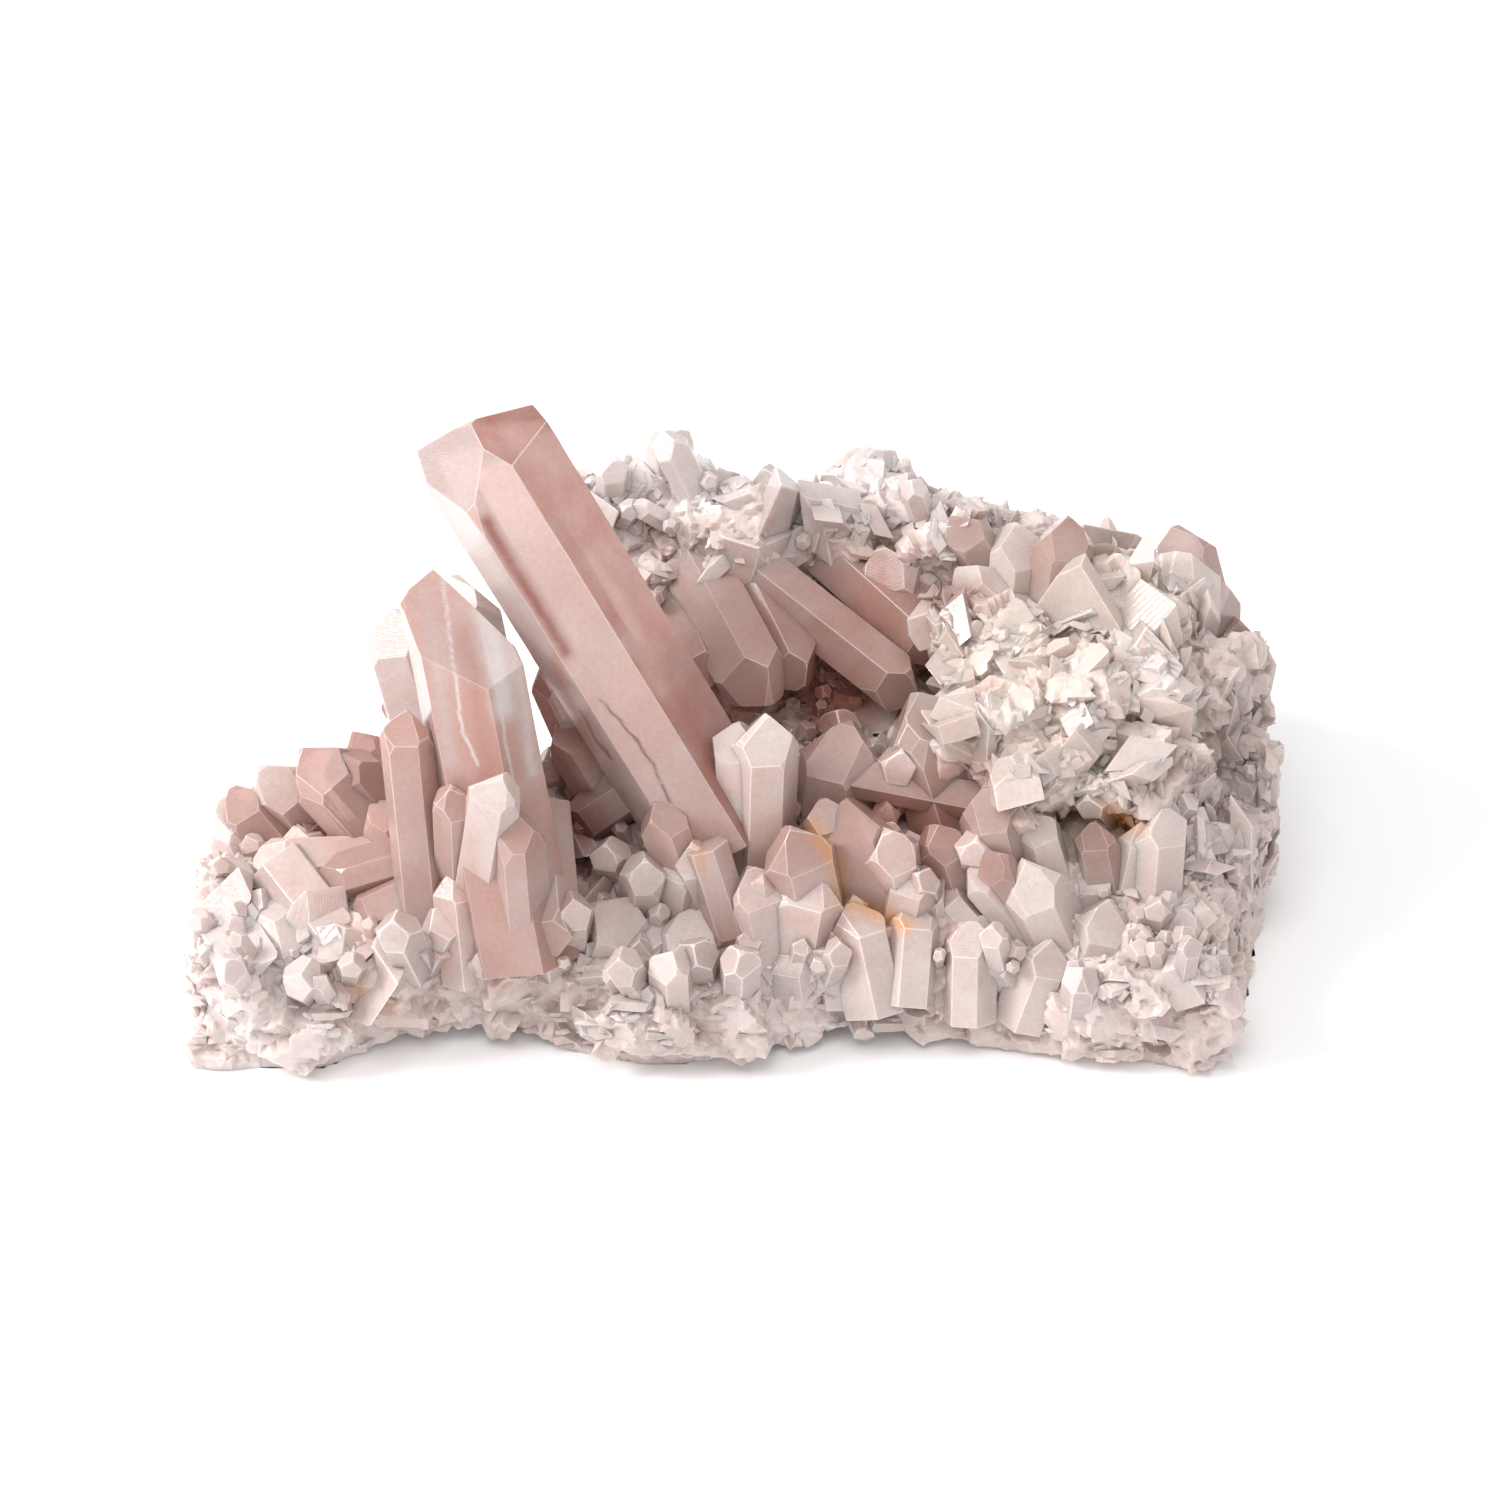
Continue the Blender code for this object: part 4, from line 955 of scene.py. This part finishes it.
def named_crystals():
    """Shapes of the large points by name, and of the other crystals by kind, with the hulls of all."""
    chance = random.Random(11)
    shapes = {"main_point": [], "left_point": [], "milky_crystals": [], "pink_crystals": []}
    hulls = []
    for name, spec in POINTS.items():
        place = standing(seen(spec.foot, spec.foot_mm), seen(spec.tip, spec.tip_mm))
        length = (seen(spec.tip, spec.tip_mm) - seen(spec.foot, spec.foot_mm)).length
        form = large_point(spec)
        hulls.append(hull_planes(form, place))
        chipped(form, length, chance, 0.7)
        bevelled(form, 0.11)
        points, triangles, marks = refined(*arrays_of(form), LARGE_CELL_MM)
        points = points + (cloud(points, 3.2, 31) - 0.5)[:, None] * (0.10, 0.10, 0)
        placed = moved(points, place)
        share = np.clip(points[triangles].mean(axis=1)[:, 2:] / length, 0, 1)
        colours = np.tile(np.array(BLUSH), (len(triangles), 1))
        # Each face gets its colour, with its painted light and shade, running from foot to tip
        for mark, (tip, foot) in FACE_COLOURS_AND_SHADE[name].items():
            here = marks == mark
            colours[here] = np.array(foot) * (1 - share[here]) + np.array(tip) * share[here]
        tint = painted(placed, triangles, marks, colours, POINT_STAINS_AND_PAINTED_LIGHT[name])
        shapes[name].append(Shape(placed, triangles, tint, points))
    kinds = {MILKY: MILK, PINK: BLUSH, ROSE: DUSTY}
    for spec in CRYSTALS.values():
        foot, tip = seen(spec.foot, spec.foot_mm), seen(spec.tip, spec.tip_mm)
        if spec.kind == MILKY and spec.foot[1] > SLOPE_FROM:
            tip = tip + Vector((chance.uniform(-1, 1), chance.uniform(-1, 1), 0)) * SLOPE_LEAN_MM
        place = standing(foot, tip)
        length = (tip - foot).length
        form = grown_crystal(spec.width_mm, length, spec.spin, chance)
        hulls.append(hull_planes(form, place))
        chipped(form, length, chance, 0.08 * spec.width_mm)
        table = place.inverted() @ Vector((0, 0, CLEAR_OF_TABLE_MM))
        cut(form, table, place.inverted().to_3x3() @ Vector((0, 0, -1)))
        bevelled(form, 0.10)
        points, triangles, marks = refined(*arrays_of(form), SMALL_CELL_MM)
        placed = moved(points, place)
        share = np.clip(points[triangles].mean(axis=1)[:, 2:] / length, 0, 1) * 0.8 + 0.2
        colours = np.array(MILK) * (1 - share) + np.array(kinds[spec.kind]) * share
        tint = painted(placed, triangles, marks, colours, CRUST_STROKES)
        shapes["milky_crystals" if spec.kind == MILKY else "pink_crystals"].append(Shape(placed, triangles, tint, points))
    return {name: joined(made) for name, made in shapes.items()}, hulls


def linked(tree, kind, **inputs):
    """A new node with its settings and its inputs, which are values or other nodes' outputs."""
    node = tree.nodes.new(kind)
    for key, value in inputs.items():
        name = key.replace("_", " ")
        socket = next((s for s in node.inputs if s.name.lower() == name.lower()), None)
        if socket is None:
            setattr(node, key, value)
        elif isinstance(value, bpy.types.NodeSocket):
            tree.links.new(value, socket)
        else:
            socket.default_value = value
    return node


def spread(tree, value, low, high, to_low, to_high):
    """The value moved from one range to another and kept inside it."""
    node = linked(tree, "ShaderNodeMapRange", Value=value)
    for name, number in (("From Min", low), ("From Max", high), ("To Min", to_low), ("To Max", to_high)):
        node.inputs[name].default_value = number
    return node.outputs["Result"]


def quartz_material(name, transmission, depth, roughness, subsurface, veil, bump, lines=0.35):
    """Milky to clear quartz: its tint, cloudy veils, growth lines and fine unevenness.

    Light that goes through takes the colour twice, so a clear material raises it to a depth below 1.
    """
    made = bpy.data.materials.new(name)
    made.use_nodes = True
    tree = made.node_tree
    shader = tree.nodes["Principled BSDF"]
    tint = linked(tree, "ShaderNodeAttribute", attribute_name="tint").outputs["Color"]
    growth = linked(tree, "ShaderNodeAttribute", attribute_name="growth").outputs["Vector"]
    place = linked(tree, "ShaderNodeTexCoord").outputs["Object"]
    clouds = linked(tree, "ShaderNodeTexNoise", Vector=place, Scale=160.0, Detail=4.0, Roughness=0.55)
    mix = linked(tree, "ShaderNodeMix", data_type="RGBA")
    tree.links.new(spread(tree, clouds.outputs["Fac"], 0.45, 0.78, 0, veil), mix.inputs["Factor"])
    tree.links.new(tint, mix.inputs["A"])
    mix.inputs["B"].default_value = (*HIGHLIGHT_AND_VEIL_WHITE, 1)
    dust = linked(tree, "ShaderNodeTexNoise", Vector=place, Scale=1500.0, Detail=4.0, Roughness=0.7)
    shade = linked(tree, "ShaderNodeVectorMath", operation="SCALE")
    tree.links.new(mix.outputs["Result"], shade.inputs["Vector"])
    tree.links.new(spread(tree, dust.outputs["Fac"], 0.34, 0.68, 0.93, 1.06), shade.inputs["Scale"])
    body = linked(tree, "ShaderNodeGamma", Color=shade.outputs["Vector"], Gamma=depth)
    tree.links.new(body.outputs["Color"], shader.inputs["Base Color"])

    grain = linked(tree, "ShaderNodeTexNoise", Vector=place, Scale=800.0, Detail=5.0, Roughness=0.65)
    tree.links.new(spread(tree, grain.outputs["Fac"], 0.35, 0.65, *roughness), shader.inputs["Roughness"])
    wave = linked(tree, "ShaderNodeTexWave", bands_direction="Z", Vector=growth, Scale=1.3, Distortion=3.0, Detail=3.0)
    heights = linked(tree, "ShaderNodeMath", operation="MULTIPLY_ADD")
    tree.links.new(wave.outputs["Fac"], heights.inputs[0])
    heights.inputs[1].default_value = lines
    tree.links.new(grain.outputs["Fac"], heights.inputs[2])
    relief = linked(tree, "ShaderNodeBump", Strength=bump, Distance=0.0003, Height=heights.outputs[0])
    tree.links.new(relief.outputs["Normal"], shader.inputs["Normal"])

    shader.inputs["IOR"].default_value = 1.54
    shader.inputs["Transmission Weight"].default_value = transmission
    shader.inputs["Subsurface Weight"].default_value = subsurface
    shader.inputs["Subsurface Radius"].default_value = (1.0, 0.7, 0.6)
    shader.inputs["Subsurface Scale"].default_value = 0.002
    return made


def floor_and_light():
    """A plain pale floor, a soft key from the left and an even white surround."""
    bpy.ops.mesh.primitive_plane_add(size=6)
    floor = bpy.context.object
    floor.name = "floor"
    made = bpy.data.materials.new("pale_floor")
    made.use_nodes = True
    shader = made.node_tree.nodes["Principled BSDF"]
    shader.inputs["Base Color"].default_value = (0.95, 0.95, 0.95, 1)
    shader.inputs["Roughness"].default_value = 0.9
    shader.inputs["Specular IOR Level"].default_value = 0.2
    floor.data.materials.append(made)

    world = bpy.data.worlds.new("surround")
    world.use_nodes = True
    world.node_tree.nodes["Background"].inputs["Color"].default_value = (1, 1, 1, 1)
    world.node_tree.nodes["Background"].inputs["Strength"].default_value = 0.84
    bpy.context.scene.world = world
    for name, place, size, power in (
        ("key", (-0.62, -0.06, 0.52), 0.34, 5.4),
        ("top", (-0.1, -0.30, 0.85), 0.50, 2.4),
    ):
        light = bpy.data.lights.new(name, "AREA")
        light.shape = "DISK"
        light.size = size
        light.energy = power
        holder = bpy.data.objects.new(name, light)
        holder.location = place
        holder.rotation_mode = "QUATERNION"
        holder.rotation_quaternion = (-Vector(place)).to_track_quat("-Z", "Y")
        bpy.context.scene.collection.objects.link(holder)


def front_camera():
    """The camera of the front view."""
    camera = bpy.data.cameras.new("front")
    camera.lens = LENS_MM
    camera.sensor_width = SENSOR_MM
    camera.clip_start = 0.01
    holder = bpy.data.objects.new("front", camera)
    holder.location = (VIEW_TARGET_MM - PLAN_MIDDLE_MM + TO_VIEWER * VIEW_DISTANCE_MM) * MM
    holder.rotation_mode = "QUATERNION"
    holder.rotation_quaternion = (-TO_VIEWER).to_track_quat("-Z", "Y")
    bpy.context.scene.collection.objects.link(holder)
    bpy.context.scene.camera = holder


def main():
    front_camera()
    floor_and_light()
    bpy.context.scene.view_settings.view_transform = "Standard"

    milky = quartz_material("milky_quartz", 0.0, 1.0, (0.25, 0.5), 0.4, 0.35, 0.5)
    broken = quartz_material("broken_quartz", 0.18, 0.95, (0.04, 0.22), 0.4, 0.30, 0.30)
    clear = quartz_material("pink_quartz", 0.44, 0.92, (0.02, 0.10), 0.4, 0.15, 0.12)

    matrix, tree = matrix_skin()
    new_piece("matrix", matrix, milky)
    counts = {"matrix": len(matrix.triangles)}
    shapes, hulls = named_crystals()
    for name, shape in shapes.items():
        new_piece(name, shape, broken if name == "milky_crystals" else clear, 20 if name in POINTS else 0)
        counts[name] = len(shape.triangles)
    for layer in LAYERS:
        shape = crust(layer, tree, hulls)
        new_piece(layer.name, shape, broken)
        counts[layer.name] = len(shape.triangles)
    print("triangles", counts, "in all", sum(counts.values()))

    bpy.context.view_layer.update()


main()
